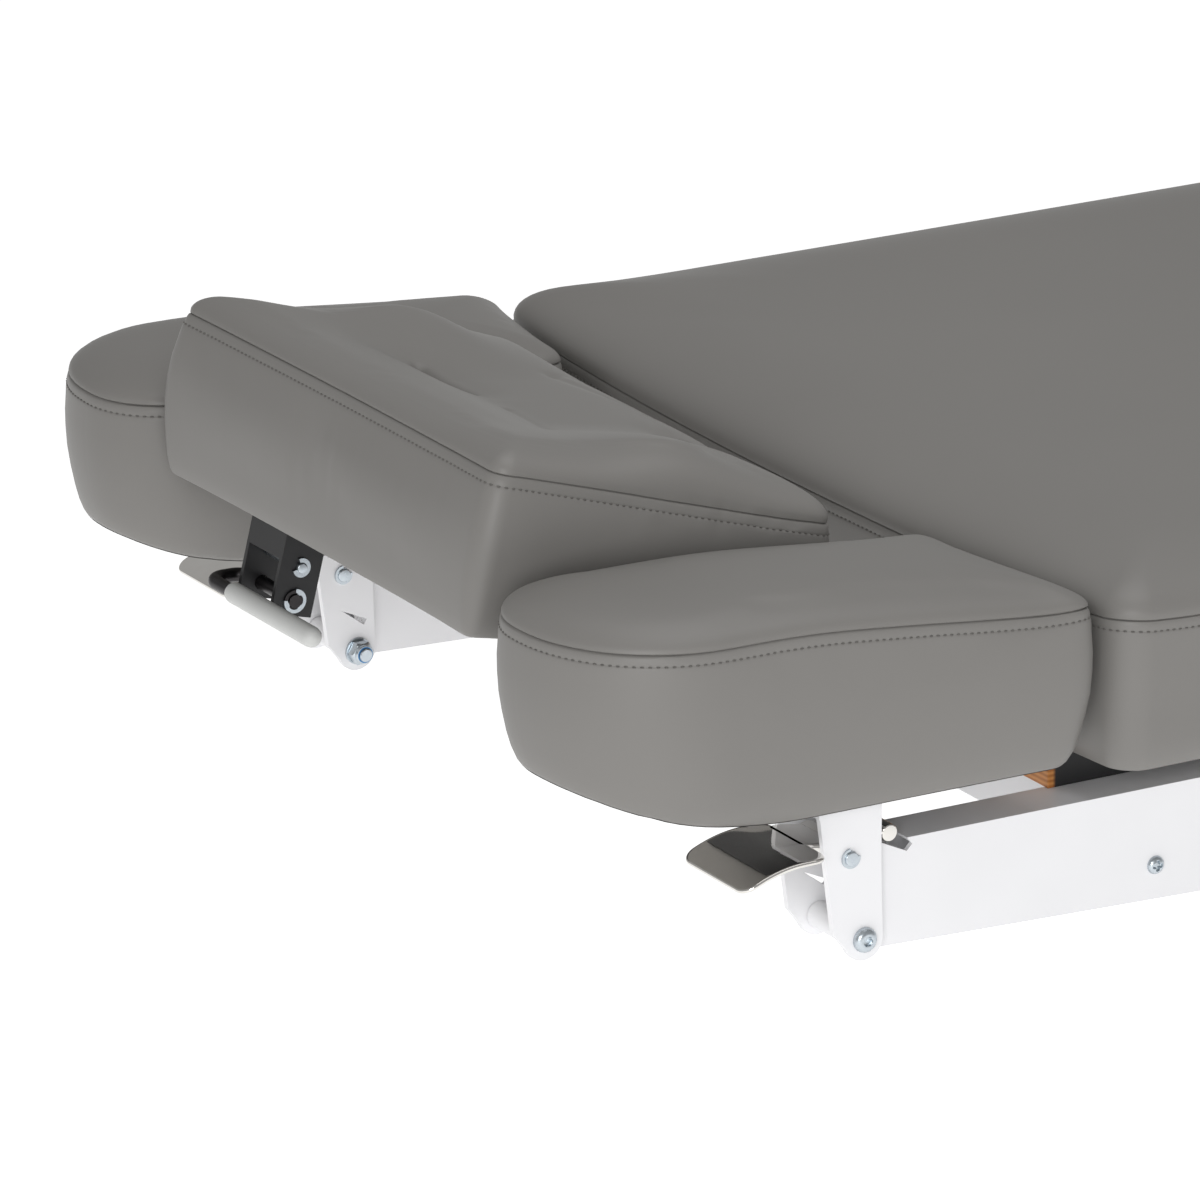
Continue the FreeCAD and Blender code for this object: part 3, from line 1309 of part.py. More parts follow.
def check_document():
    """Stop if any object failed or any sub-part has no valid shape."""
    doc.recompute()
    for item in doc.Objects:
        if "Invalid" in item.State or "Error" in item.State:
            raise ValueError("%s failed: %s" % (item.Label, item.State))
    for item in nodes:
        if item.Shape.isNull() or not item.Shape.isValid() or not item.Shape.Solids:
            raise ValueError("%s has no valid solid" % item.Label)


def write_parts():
    """Write every sub-part to its own file."""
    os.makedirs("parts", exist_ok=True)
    for item in nodes:
        item.Shape.exportStep(os.path.join("parts", item.Label + ".step"))
    print("wrote %d sub-parts" % len(nodes))


build_base()
build_columns()
build_upper_frame()
build_backrest()
build_struts()
build_headrest()
mirrored_pair(build_arm)
check_document()
write_parts()
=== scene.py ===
# %% [markdown]
# # A spa treatment bed, dressed for the camera
# The real bed is a welded steel frame on two lifting columns, with foam pads in grey vinyl on
# plywood boards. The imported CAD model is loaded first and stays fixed, so every surface made here
# goes where the model says. Lengths below are in millimetres and become metres in one place.

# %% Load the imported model
import json

import bmesh
import bpy
import numpy as np
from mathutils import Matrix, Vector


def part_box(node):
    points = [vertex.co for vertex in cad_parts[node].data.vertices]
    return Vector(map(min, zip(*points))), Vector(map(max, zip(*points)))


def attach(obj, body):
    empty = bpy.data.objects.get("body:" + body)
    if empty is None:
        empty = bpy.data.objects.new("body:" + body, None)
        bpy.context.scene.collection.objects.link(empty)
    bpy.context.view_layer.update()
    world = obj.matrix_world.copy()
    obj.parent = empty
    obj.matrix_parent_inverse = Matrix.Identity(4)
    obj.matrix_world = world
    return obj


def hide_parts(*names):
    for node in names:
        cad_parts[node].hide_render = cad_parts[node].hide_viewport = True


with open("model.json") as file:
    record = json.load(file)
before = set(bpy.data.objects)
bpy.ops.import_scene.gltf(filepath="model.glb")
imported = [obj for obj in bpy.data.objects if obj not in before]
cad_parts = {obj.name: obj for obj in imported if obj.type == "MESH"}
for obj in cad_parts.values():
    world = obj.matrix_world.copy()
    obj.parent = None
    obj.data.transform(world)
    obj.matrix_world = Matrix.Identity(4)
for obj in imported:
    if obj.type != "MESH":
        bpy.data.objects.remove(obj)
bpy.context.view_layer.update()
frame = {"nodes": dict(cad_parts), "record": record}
MM = 0.001

# %% [markdown]
# ## Small tools
# A surface is a grid of points, worked out as one array and handed to Blender in one go. Typing
# vertices by hand or calling primitive operators would hide the shape; a grid keeps its formula in
# sight. Doubled points at seams and poles are merged, and normals are then made to face outwards.

# %% Grids into meshes
def surface(name, grids, ring=True):
    """Mesh of point grids [patch, row, column, xyz] in millimetres.

    Neighbours in a grid make one quad; ring joins the last column to the first.
    """
    work = bmesh.new()
    for grid in grids:
        rows, columns = grid.shape[-3:-1]
        patches = grid.reshape(-1, rows, columns, 3)
        index = np.arange(rows * columns).reshape(rows, columns)
        if ring:
            index = np.concatenate([index, index[:, :1]], axis=1)
        corners = [index[:-1, :-1], index[:-1, 1:], index[1:, 1:], index[1:, :-1]]
        quad = np.stack(corners, axis=-1).reshape(-1, 4)
        quads = quad[None] + (np.arange(len(patches)) * rows * columns)[:, None, None]
        part = bpy.data.meshes.new(name)
        part.from_pydata((patches.reshape(-1, 3) * MM).tolist(), [], quads.reshape(-1, 4).tolist())
        work.from_mesh(part)
        bpy.data.meshes.remove(part)
    bmesh.ops.remove_doubles(work, verts=work.verts, dist=1e-6)
    bmesh.ops.recalc_face_normals(work, faces=work.faces)
    mesh = bpy.data.meshes.new(name)
    work.to_mesh(mesh)
    work.free()
    return mesh_object(name, mesh)


def mesh_object(name, mesh, crease=35):
    """Object at the origin for a mesh, shaded smooth but for edges sharper than crease degrees."""
    mesh.polygons.foreach_set("use_smooth", np.ones(len(mesh.polygons), bool))
    mesh.set_sharp_from_angle(angle=np.radians(crease))
    piece = bpy.data.objects.new(name, mesh)
    bpy.context.scene.collection.objects.link(piece)
    return piece


def points_of(mesh):
    """All vertices of a mesh as an array in millimetres."""
    flat = np.empty(len(mesh.vertices) * 3)
    mesh.vertices.foreach_get("co", flat)
    return flat.reshape(-1, 3) / MM


def node_box(node):
    """Lowest and highest corner of a CAD node, in millimetres."""
    low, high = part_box(node)
    return np.array(low) / MM, np.array(high) / MM


print("tools ready")

# %% Riding on the CAD bodies
BODY_OF = {node: body for body, nodes in frame["record"]["behaviour"]["bodies"].items() for node in nodes}


def dress(piece, material, slot, body, *nodes):
    """Give a piece its finish, let it ride on a body, and let it stand for CAD nodes; slot is not used."""
    piece.data.materials.clear()
    piece.data.materials.append(material)
    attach(piece, body)
    if nodes:
        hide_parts(*nodes)
    return piece


print("bodies:", ", ".join(sorted(set(BODY_OF.values()))))

# %% [markdown]
# ## Colours and shader nodes
# Colours are written as the sRGB hex values a paint card would give. Shaders work in linear light,
# so one function converts them. One more adds any node with its settings and links.

# %% Colour and node helpers
def linear(hex_colour):
    """sRGB hex to linear RGBA: c / 12.92 for the darkest, else ((c + 0.055) / 1.055) to the 2.4."""
    shares = np.array([int(hex_colour[i:i + 2], 16) for i in (1, 3, 5)]) / 255
    channels = np.where(shares <= 0.04045, shares / 12.92, ((shares + 0.055) / 1.055) ** 2.4)
    return (*channels.tolist(), 1.0)


def add_node(tree, kind, inputs, **settings):
    """Add a node, set its properties, then set or link each input named or numbered in inputs."""
    node = tree.nodes.new(kind)
    for name, value in settings.items():
        setattr(node, name, value)
    for name, value in inputs.items():
        if isinstance(value, bpy.types.NodeSocket):
            tree.links.new(value, node.inputs[name])
        else:
            node.inputs[name].default_value = value
    return node


def start_finish(name, **sockets):
    """A material with its shader's constant sockets set: gives it, its tree, shader and place socket."""
    material = bpy.data.materials.new(name)
    material.use_nodes = True
    tree = material.node_tree
    shader = tree.nodes["Principled BSDF"]
    for socket, value in sockets.items():
        shader.inputs[socket.replace("_", " ")].default_value = value
    place = add_node(tree, "ShaderNodeTexCoord", {}).outputs["Object"]
    return material, tree, shader, place


def per_metre(millimetres):
    """Texture scale that makes one pattern cell this many millimetres wide."""
    return 1 / (millimetres * MM)


print("mid grey is", [round(v, 3) for v in linear("#787673")])

# %% [markdown]
# ## Upholstery vinyl
# The pads are covered in PU-coated vinyl, embossed with a fine leather grain by a hot roller. To the
# eye that is an even warm grey with a broad soft sheen and a grain that only breaks up the highlight.
# Real grain cells are about 0.7 mm wide; they are drawn at 1.5 mm so that the render can show them.

# %% Embossed vinyl
vinyl, tree, shader, place = start_finish("embossed_vinyl", IOR=1.48, Specular_IOR_Level=0.35)
grain = add_node(tree, "ShaderNodeTexVoronoi", {"Vector": place, "Scale": per_metre(1.5), "Randomness": 0.9},
                 feature="SMOOTH_F1")
cloudy = add_node(tree, "ShaderNodeTexNoise", {"Vector": place, "Scale": per_metre(160), "Detail": 3.0})
tone = add_node(tree, "ShaderNodeMix", {0: cloudy.outputs["Fac"], 6: linear("#757370"), 7: linear("#7c7a77")},
                data_type="RGBA")
gloss = add_node(tree, "ShaderNodeMapRange", {"Value": cloudy.outputs["Fac"], "To Min": 0.40, "To Max": 0.52})
emboss = add_node(tree, "ShaderNodeBump",
                  {"Height": grain.outputs["Distance"], "Strength": 0.10, "Distance": 0.2 * MM})
tree.links.new(tone.outputs[2], shader.inputs["Base Color"])
tree.links.new(gloss.outputs["Result"], shader.inputs["Roughness"])
tree.links.new(emboss.outputs["Normal"], shader.inputs["Normal"])
print("made", vinyl.name)

# %% Sewing thread
# Bonded polyester thread, twisted and quite matt; its tone is set darker than the vinyl's as painted shade of
# the needle holes it sinks into.
thread_and_hole_shade, tree, shader, place = start_finish("polyester_thread_and_hole_shade", Roughness=0.75, IOR=1.5)
twist = add_node(tree, "ShaderNodeTexNoise", {"Vector": place, "Scale": per_metre(0.8), "Detail": 1.0})
tone = add_node(tree, "ShaderNodeMix", {0: twist.outputs["Fac"], 6: linear("#4d4b49"), 7: linear("#66645f")},
                data_type="RGBA")
tree.links.new(tone.outputs[2], shader.inputs["Base Color"])
print("made", thread_and_hole_shade.name)

# %% [markdown]
# ## Metals and paints
# The frame is mild steel with white powder coat, which melts into a skin with faint orange peel some
# 2 mm across. The latch levers are polished and chromed, fasteners are bright zinc, the headrest
# bracket is black powder coat. Each gets its own small-scale unevenness instead of one flat value.

# %% Powder coats
POWDER_COATS = {}
for name, low_tone, high_tone, low_rough, high_rough in (
        ("white_powder_coat", "#dfdfe1", "#e8e8ea", 0.32, 0.44),
        ("grey_powder_coat", "#c3c5c6", "#cfd0d1", 0.32, 0.44),
        ("black_powder_coat", "#0b0b0c", "#141416", 0.40, 0.52)):
    coat, tree, shader, place = start_finish(name, IOR=1.5)
    peel = add_node(tree, "ShaderNodeTexNoise", {"Vector": place, "Scale": per_metre(2.2), "Detail": 1.5})
    drift = add_node(tree, "ShaderNodeTexNoise", {"Vector": place, "Scale": per_metre(70), "Detail": 2.0})
    tone = add_node(tree, "ShaderNodeMix", data_type="RGBA",
                    inputs={0: drift.outputs["Fac"], 6: linear(low_tone), 7: linear(high_tone)})
    gloss = add_node(tree, "ShaderNodeMapRange",
                     {"Value": drift.outputs["Fac"], "To Min": low_rough, "To Max": high_rough})
    skin = add_node(tree, "ShaderNodeBump",
                    {"Height": peel.outputs["Fac"], "Strength": 0.06, "Distance": 0.2 * MM})
    tree.links.new(tone.outputs[2], shader.inputs["Base Color"])
    tree.links.new(gloss.outputs["Result"], shader.inputs["Roughness"])
    tree.links.new(skin.outputs["Normal"], shader.inputs["Normal"])
    POWDER_COATS[name] = coat
white_coat = POWDER_COATS["white_powder_coat"]
grey_coat = POWDER_COATS["grey_powder_coat"]
black_coat = POWDER_COATS["black_powder_coat"]
print("made", ", ".join(POWDER_COATS))

# %% Bare and plated metals
# Metallic surfaces keep the default IOR. Chrome is nearly a mirror with faint wiping marks, zinc is
# bluish and satin, the dark rod is burnished steel, and piston rods are ground and hard-chromed.
METALS = {}
for name, low_tone, high_tone, low_rough, high_rough, mark in (
        ("polished_chrome", "#d6d3ce", "#e2e0dc", 0.03, 0.09, 14),
        ("bright_zinc", "#aeb7bf", "#c9d0d4", 0.22, 0.36, 3),
        ("burnished_steel", "#353334", "#474546", 0.30, 0.44, 6),
        ("ground_chrome", "#c4c5c6", "#d2d3d3", 0.12, 0.22, 5)):
    metal, tree, shader, place = start_finish(name, Metallic=1.0)
    marks = add_node(tree, "ShaderNodeTexNoise", {"Vector": place, "Scale": per_metre(mark), "Detail": 4.0})
    tone = add_node(tree, "ShaderNodeMix", data_type="RGBA",
                    inputs={0: marks.outputs["Fac"], 6: linear(low_tone), 7: linear(high_tone)})
    gloss = add_node(tree, "ShaderNodeMapRange",
                     {"Value": marks.outputs["Fac"], "To Min": low_rough, "To Max": high_rough})
    tree.links.new(tone.outputs[2], shader.inputs["Base Color"])
    tree.links.new(gloss.outputs["Result"], shader.inputs["Roughness"])
    METALS[name] = metal
chrome = METALS["polished_chrome"]
zinc = METALS["bright_zinc"]
dark_steel = METALS["burnished_steel"]
piston_chrome = METALS["ground_chrome"]
print("made", ", ".join(METALS))

# %% Moulded plastics and rubbers
# Dipped PVC for the grip, nylon for the lock ring, ABS with a spark-eroded grain for boxes and caps,
# and plain black rubber for the feet. Their grain is about 0.6 mm and is drawn at 1.2 mm to show.
PLASTICS = {}
for name, low_tone, high_tone, low_rough, high_rough, strength in (
        ("dipped_pvc", "#bcbdbb", "#c5c6c4", 0.42, 0.55, 0.05),
        ("blue_nylon", "#2f6ea3", "#3f7fb4", 0.35, 0.45, 0.02),
        ("spark_grain_abs", "#26272a", "#303135", 0.45, 0.60, 0.20),
        ("black_rubber", "#161616", "#222222", 0.70, 0.85, 0.15)):
    plastic, tree, shader, place = start_finish(name, IOR=1.5)
    pits = add_node(tree, "ShaderNodeTexNoise", {"Vector": place, "Scale": per_metre(1.2), "Detail": 2.0})
    drift = add_node(tree, "ShaderNodeTexNoise", {"Vector": place, "Scale": per_metre(25), "Detail": 2.0})
    tone = add_node(tree, "ShaderNodeMix", data_type="RGBA",
                    inputs={0: drift.outputs["Fac"], 6: linear(low_tone), 7: linear(high_tone)})
    gloss = add_node(tree, "ShaderNodeMapRange",
                     {"Value": pits.outputs["Fac"], "To Min": low_rough, "To Max": high_rough})
    skin = add_node(tree, "ShaderNodeBump",
                    {"Height": pits.outputs["Fac"], "Strength": strength, "Distance": 0.2 * MM})
    tree.links.new(tone.outputs[2], shader.inputs["Base Color"])
    tree.links.new(gloss.outputs["Result"], shader.inputs["Roughness"])
    tree.links.new(skin.outputs["Normal"], shader.inputs["Normal"])
    PLASTICS[name] = plastic
print("made", ", ".join(PLASTICS))

# %% Painted plywood
# Birch plywood, rolled black on its faces and long edges; the sawn ends stay raw and show the plies,
# about 1.5 mm each and drawn twice as thick. A ramp along X keeps the paint off the first millimetres.
# A wave texture passes 20 radians per unit at scale 1, which the phase value takes out.
board_paint, tree, shader, place = start_finish("painted_birch_plywood", IOR=1.5)
RAW_END = node_box("backrest_board")[0][0]
RAW_LONG, PAINT_FADE = 3, 2
axes = add_node(tree, "ShaderNodeSeparateXYZ", {"Vector": place})
from_end = add_node(tree, "ShaderNodeMath", {0: axes.outputs["X"], 1: RAW_END * MM}, operation="SUBTRACT")
distance = add_node(tree, "ShaderNodeMath", {0: from_end.outputs[0]}, operation="ABSOLUTE")
raw_share = add_node(tree, "ShaderNodeMapRange",
                     {"Value": distance.outputs[0], "From Min": RAW_LONG * MM,
                      "From Max": (RAW_LONG + PAINT_FADE) * MM, "To Min": 1.0, "To Max": 0.0})
PLY_BAND = 3.0
WAVE_PHASE = 20 / (2 * np.pi)
plies = add_node(tree, "ShaderNodeTexWave",
                 {"Vector": place, "Scale": per_metre(PLY_BAND) / WAVE_PHASE,
                  "Distortion": 1.5, "Detail": 2.0}, bands_direction="Z")
fibre = add_node(tree, "ShaderNodeTexNoise", {"Vector": place, "Scale": per_metre(1.5), "Detail": 3.0})
wood = add_node(tree, "ShaderNodeMix", {0: plies.outputs["Fac"], 6: linear("#a8652c"), 7: linear("#c98a48")},
                data_type="RGBA")
black = add_node(tree, "ShaderNodeMix", {0: fibre.outputs["Fac"], 6: linear("#141415"), 7: linear("#222224")},
                 data_type="RGBA")
tone = add_node(tree, "ShaderNodeMix", data_type="RGBA",
                inputs={0: raw_share.outputs["Result"], 6: black.outputs[2], 7: wood.outputs[2]})
gloss = add_node(tree, "ShaderNodeMapRange", {"Value": fibre.outputs["Fac"], "To Min": 0.45, "To Max": 0.65})
grain = add_node(tree, "ShaderNodeBump",
                 {"Height": fibre.outputs["Fac"], "Strength": 0.15, "Distance": 0.2 * MM})
tree.links.new(tone.outputs[2], shader.inputs["Base Color"])
tree.links.new(gloss.outputs["Result"], shader.inputs["Roughness"])
tree.links.new(grain.outputs["Normal"], shader.inputs["Normal"])
print("made", board_paint.name, "raw end at X", round(RAW_END))

# %% [markdown]
# ## Camera, floor and light
# The photograph is a long-lens studio shot from the head end, a little above the pads. The camera
# stands where that view puts it. The floor is plain and pale and glows a little itself, so that it
# goes white. One large soft light hangs overhead and one stands beside the camera, as in a product
# studio; a brighter sky instead would light the underside and the gaps between the pads too much.

# %% Camera
CAMERA_PLACE = (-3.3525, -4.3732, 2.2716)
CAMERA_TURN = 30.56
CAMERA_DIP = 18.57
CAMERA_LENS, SENSOR_WIDTH = 290.94, 36.0
camera_data = bpy.data.cameras.new("studio_camera")
camera_data.lens = CAMERA_LENS
camera_data.sensor_width = SENSOR_WIDTH
camera = bpy.data.objects.new("studio_camera", camera_data)
camera.location = CAMERA_PLACE
camera.rotation_euler = (np.radians(90 - CAMERA_DIP), 0, np.radians(-CAMERA_TURN))
bpy.context.scene.collection.objects.link(camera)
bpy.context.scene.camera = camera
print("camera at", CAMERA_PLACE)

# %% Floor
floor_finish, tree, shader, place = start_finish(
    "studio_floor", Roughness=0.9, Emission_Color=(1, 1, 1, 1), Emission_Strength=0.62)
mottle = add_node(tree, "ShaderNodeTexNoise", {"Vector": place, "Scale": per_metre(900), "Detail": 2.0})
tone = add_node(tree, "ShaderNodeMix", {0: mottle.outputs["Fac"], 6: linear("#f6f6f6"), 7: linear("#fafafa")},
                data_type="RGBA")
tree.links.new(tone.outputs[2], shader.inputs["Base Color"])
FLOOR_HALF = 30000
floor_grid = np.array([[[-FLOOR_HALF, -FLOOR_HALF, 0], [FLOOR_HALF, -FLOOR_HALF, 0]],
                       [[-FLOOR_HALF, FLOOR_HALF, 0], [FLOOR_HALF, FLOOR_HALF, 0]]], float)
floor = surface("studio_floor", [floor_grid], ring=False)
floor.data.materials.append(floor_finish)
print("floor", 2 * FLOOR_HALF, "mm square")

# %% Light
world = bpy.data.worlds.new("studio_air")
world.use_nodes = True
world.node_tree.nodes["Background"].inputs["Color"].default_value = (1, 1, 1, 1)
world.node_tree.nodes["Background"].inputs["Strength"].default_value = 0.42
bpy.context.scene.world = world
bpy.context.scene.view_settings.view_transform = "Standard"


def soft_light(name, place_mm, aim_mm, size_mm, power):
    """Square area light at a place, facing the point aimed at."""
    data = bpy.data.lights.new(name, "AREA")
    data.size = size_mm * MM
    data.energy = power
    lamp = bpy.data.objects.new(name, data)
    place_m = np.array(place_mm, float) * MM
    lamp.location = place_m
    away = np.array(aim_mm, float) * MM - place_m
    flat = np.hypot(away[0], away[1])
    lamp.rotation_euler = (np.pi / 2 + np.arctan2(away[2], flat), 0, np.arctan2(-away[0], away[1]))
    bpy.context.scene.collection.objects.link(lamp)
    return lamp


soft_light("overhead_softbox", (-450, -150, 2000), (-450, -50, 600), 1200, 9)
soft_light("front_softbox", (-2400, -2500, 1300), (-600, 0, 600), 1300, 34)
print("lights set")

# %% [markdown]
# ## How a boxed cushion is made
# Each pad is a foam block with a top panel and a side band (the boxing) sewn together at the top
# edge; a row of top stitching runs below the seam. The outline in plan is a rectangle with rounded
# corners, and the profile goes from the middle of the underside, round the side, over the seam to the
# middle of the top. A box with a bevel would have neither seam nor crown, so outline and profile are
# multiplied: each row of the grid is the outline drawn in by its own inset, at its own height.

# %% Plan outlines
CORNER_STEPS = 16


def plan_rings(half_x, half_y, radii, insets, side_steps):
    """Rounded rectangles, one row per inset, as points [row, column, xy] round the middle.

    A corner arc is its centre plus radius times (cos, sin); a straight side divides the line
    between two arcs evenly. The corner radius shrinks with the inset and ends at nothing; the two
    corners of one end share what is left of its width in proportion to their radii.
    """
    insets = np.asarray(insets, float)[:, None, None]
    radii = np.asarray(radii, float)[None, :, None]
    pair_mean = (radii + radii[:, ::-1]) / 2
    reach = min(half_x, half_y)
    radius = np.maximum(radii - 0.6 * insets, 0.5 * radii * (1 - insets / reach))
    radius = np.minimum(radius, (reach - insets) * radii / pair_mean)
    turn = np.linspace(0, np.pi / 2, CORNER_STEPS)[None, None] + np.arange(4)[None, :, None] * np.pi / 2
    sign_x = np.array([1, -1, -1, 1])[None, :, None]
    sign_y = np.array([1, 1, -1, -1])[None, :, None]
    arc_x = sign_x * (half_x - insets - radius) + radius * np.cos(turn)
    arc_y = sign_y * (half_y - insets - radius) + radius * np.sin(turn)
    arcs = np.stack([arc_x, arc_y], axis=-1)
    following = np.roll(arcs[:, :, :1], -1, axis=1)
    share = np.linspace(0, 1, side_steps + 2)[1:-1][None, None, :, None]
    sides = arcs[:, :, -1:] * (1 - share) + following * share
    return np.concatenate([arcs, sides], axis=2).reshape(len(insets), -1, 2)


print("columns round a long pad:", plan_rings(360, 335, [25] * 4, [0], 50).shape[1])

# %% Profile of the boxing
# Each row: inset in tucks, inset in millimetres, share of the side height, millimetres above that.
# The last rows are the stitching groove 6 mm under the seam and the seam itself.
BOXING = np.array([
    (1.30, 0.0, 0.00, 0.0), (1.02, 0.0, 0.00, 0.8), (0.84, 0.0, 0.00, 3.0), (0.60, 0.0, 0.08, 2.0),
    (0.44, 0.0, 0.20, 0.0), (0.34, 0.0, 0.33, 0.0), (0.28, 0.0, 0.46, 0.0), (0.25, 0.0, 0.60, 0.0),
    (0.19, 0.0, 0.72, 0.0), (0.12, 0.0, 0.84, 0.0), (0.06, 0.0, 1.00, -9.5), (0.04, 0.0, 1.00, -7.4),
    (0.03, 0.08, 1.00, -6.6), (0.03, 0.30, 1.00, -6.0), (0.03, 0.08, 1.00, -5.4), (0.02, 0.0, 1.00, -4.6),
    (0.00, 0.0, 1.00, -3.0), (0.00, 0.05, 1.00, -1.4), (0.00, 0.30, 1.00, -0.6), (0.00, 1.30, 1.00, 0.0),
    (0.00, 0.35, 1.00, 0.6),
])
UNDER_SHARES = np.array([1.0, 0.6, 0.3, 0.15])
STITCH_ROW = len(UNDER_SHARES) + 13
PULL = 2.0
BOXING_HEIGHT = 85.0
BULGE_POWER = 1.35
CROWN_POWER = 2.3


def crown_share(inset, edge):
    """Rise of a top panel from its seam: a quarter of a superellipse, steep at the seam, level at edge."""
    return (1 - (1 - np.clip(inset / edge, 0, 1)) ** CROWN_POWER) ** (1 / CROWN_POWER)


def cushion_plan(half, radii, tuck, bulge, top_steps, top_power, side_steps):
    """Plan of all rows of a cushion, with each row's side share, offset and inset on the top panel.

    The boxing bulges by bulge times the sine of pi times its height share to the BULGE_POWER. Between
    its corners each side is drawn in by PULL times (1 - s squared), s from -1 to 1 along it.
    """
    top_inset = min(half) * np.linspace(0, 1, top_steps + 1)[1:] ** top_power
    height_share = np.clip(BOXING[:, 2] + BOXING[:, 3] / BOXING_HEIGHT, 0, 1)
    swelling = bulge * np.sin(np.pi * height_share ** BULGE_POWER)
    side_inset = BOXING[:, 0] * tuck + BOXING[:, 1] - swelling
    insets = np.concatenate([min(half) * UNDER_SHARES, side_inset, top_inset])
    plan = plan_rings(*half, radii, insets, side_steps)
    along, across = plan[..., 0] / half[0], plan[..., 1] / half[1]
    x = plan[..., 0] - PULL * along ** 3 * (1 - across ** 2)
    y = plan[..., 1] - PULL * across ** 3 * (1 - along ** 2)
    share = np.concatenate([0 * UNDER_SHARES, BOXING[:, 2], np.ones(top_steps)])[:, None]
    offset = np.concatenate([0 * UNDER_SHARES, BOXING[:, 3], np.zeros(top_steps)])[:, None]
    top = np.concatenate([0 * UNDER_SHARES, 0 * side_inset, top_inset])[:, None]
    return x, y, along, across, share, offset, top


print("profile rows:", len(UNDER_SHARES) + len(BOXING), "below the top panel")

# %% Top stitching
STITCH_PITCH = 4.2
STITCH_LENGTH = 2.9
STITCH_RADIUS = 0.5


def stitches(name, path):
    """Threads along a closed path: spindles of radius sqrt(1 - s squared) that dive in at both ends."""
    closed = np.concatenate([path, path[:1]])
    run = np.concatenate([[0], np.cumsum(np.linalg.norm(np.diff(closed, axis=0), axis=1))])
    count = int(run[-1] / STITCH_PITCH)
    middles = (np.arange(count) + 0.5) * run[-1] / count
    stops = [(middles + offset) % run[-1] for offset in (-STITCH_LENGTH / 2, 0, STITCH_LENGTH / 2)]
    before, centre, after = [
        np.stack([np.interp(stop, run, closed[:, axis]) for axis in range(3)], axis=-1) for stop in stops]
    tangent = after - before
    tangent /= np.linalg.norm(tangent, axis=1, keepdims=True)
    outward = np.cross(tangent, (0, 0, 1))
    outward /= np.linalg.norm(outward, axis=1, keepdims=True)
    upward = np.cross(outward, tangent)
    station = np.linspace(-1, 1, 5)[None, :, None, None]
    turn = np.linspace(0, 2 * np.pi, 7)[:-1][None, None, :, None]
    girth = STITCH_RADIUS * np.sqrt(1 - station ** 2)
    lift = STITCH_RADIUS * (0.7 - 1.5 * station ** 2) + girth * np.cos(turn)
    grid = (centre[:, None, None] + tangent[:, None, None] * station * STITCH_LENGTH / 2
            + outward[:, None, None] * lift + upward[:, None, None] * girth * np.sin(turn))
    return surface(name, [grid])


print("stitch pitch", STITCH_PITCH, "mm")

# %% [markdown]
# ## Filling the covers
# A real cover is cut slightly small and the foam presses it taut. A cloth simulation does the same: a
# copy of the cushion is remeshed into even cells, its glued underside is pinned, and pressure swells
# it for 20 frames. The swelling is capped and carried over to the finely sewn mesh by a surface-deform
# modifier, so that seams and stitches survive.

# %% Cloth pass
CLOTH_FRAMES = 20
AIR_PRESSURE = 4.0
GLUED_CELLS = 2


def swell(cushion, followers, voxel, cap):
    """Blow up a remeshed copy of a cushion as cloth and move the followers with it, by at most cap."""
    scene = bpy.context.scene
    cage = mesh_object(cushion.name + "_cage", cushion.data.copy())
    voxels = cage.modifiers.new("even_cells", "REMESH")
    voxels.mode = "VOXEL"
    voxels.voxel_size = voxel * MM
    even = bpy.data.meshes.new_from_object(cage.evaluated_get(bpy.context.evaluated_depsgraph_get()))
    cage.modifiers.clear()
    cage.data = even
    rest = points_of(even)
    for follower in followers:
        hold = follower.modifiers.new("follow_cloth", "SURFACE_DEFORM")
        hold.target = cage
        with bpy.context.temp_override(object=follower, active_object=follower):
            bpy.ops.object.surfacedeform_bind(modifier=hold.name)
    blown = mesh_object(cushion.name + "_blown", even.copy())
    glued = blown.vertex_groups.new(name="glued")
    low = rest[:, 2].min()
    glued.add(np.flatnonzero(rest[:, 2] < low + GLUED_CELLS * voxel).tolist(), 1.0, "REPLACE")
    cloth = blown.modifiers.new("cover", "CLOTH")
    cloth.settings.use_pressure = True
    cloth.settings.uniform_pressure_force = AIR_PRESSURE
    cloth.settings.vertex_group_mass = glued.name
    cloth.settings.effector_weights.gravity = 0
    cloth.settings.quality = 5
    for step in range(1, CLOTH_FRAMES + 1):
        scene.frame_set(step)
    final = bpy.data.meshes.new_from_object(blown.evaluated_get(bpy.context.evaluated_depsgraph_get()))
    moved = points_of(final) - rest
    distance = np.linalg.norm(moved, axis=1, keepdims=True)
    moved *= np.tanh(distance / cap) * cap / np.maximum(distance, 1e-9)
    even.vertices.foreach_set("co", ((rest + moved) * MM).ravel())
    even.update()
    scene.frame_set(1)
    graph = bpy.context.evaluated_depsgraph_get()
    for follower in followers:
        shaped = bpy.data.meshes.new_from_object(follower.evaluated_get(graph))
        follower.modifiers.clear()
        follower.data = shaped
    bpy.data.objects.remove(blown)
    bpy.data.objects.remove(cage)
    return float(distance.max())


print("cloth pass", "ready")

# %% [markdown]
# ## The long pads and the arm pads
# The backrest and seat pads are straight boxed cushions; the backrest's head edge bows out to meet the
# headrest. The arm pads have one large round end, an underside that curves up towards it, a seam that
# slopes down towards the body and a foot edge that follows the bow. All four come from the same grid:
# only sizes, radii and the lines of seam and underside differ. Corners ride up a little, as sewn ones do.

# %% Boxed cushions
SLACK = 2.0
CORNER_LIFT = 5.0


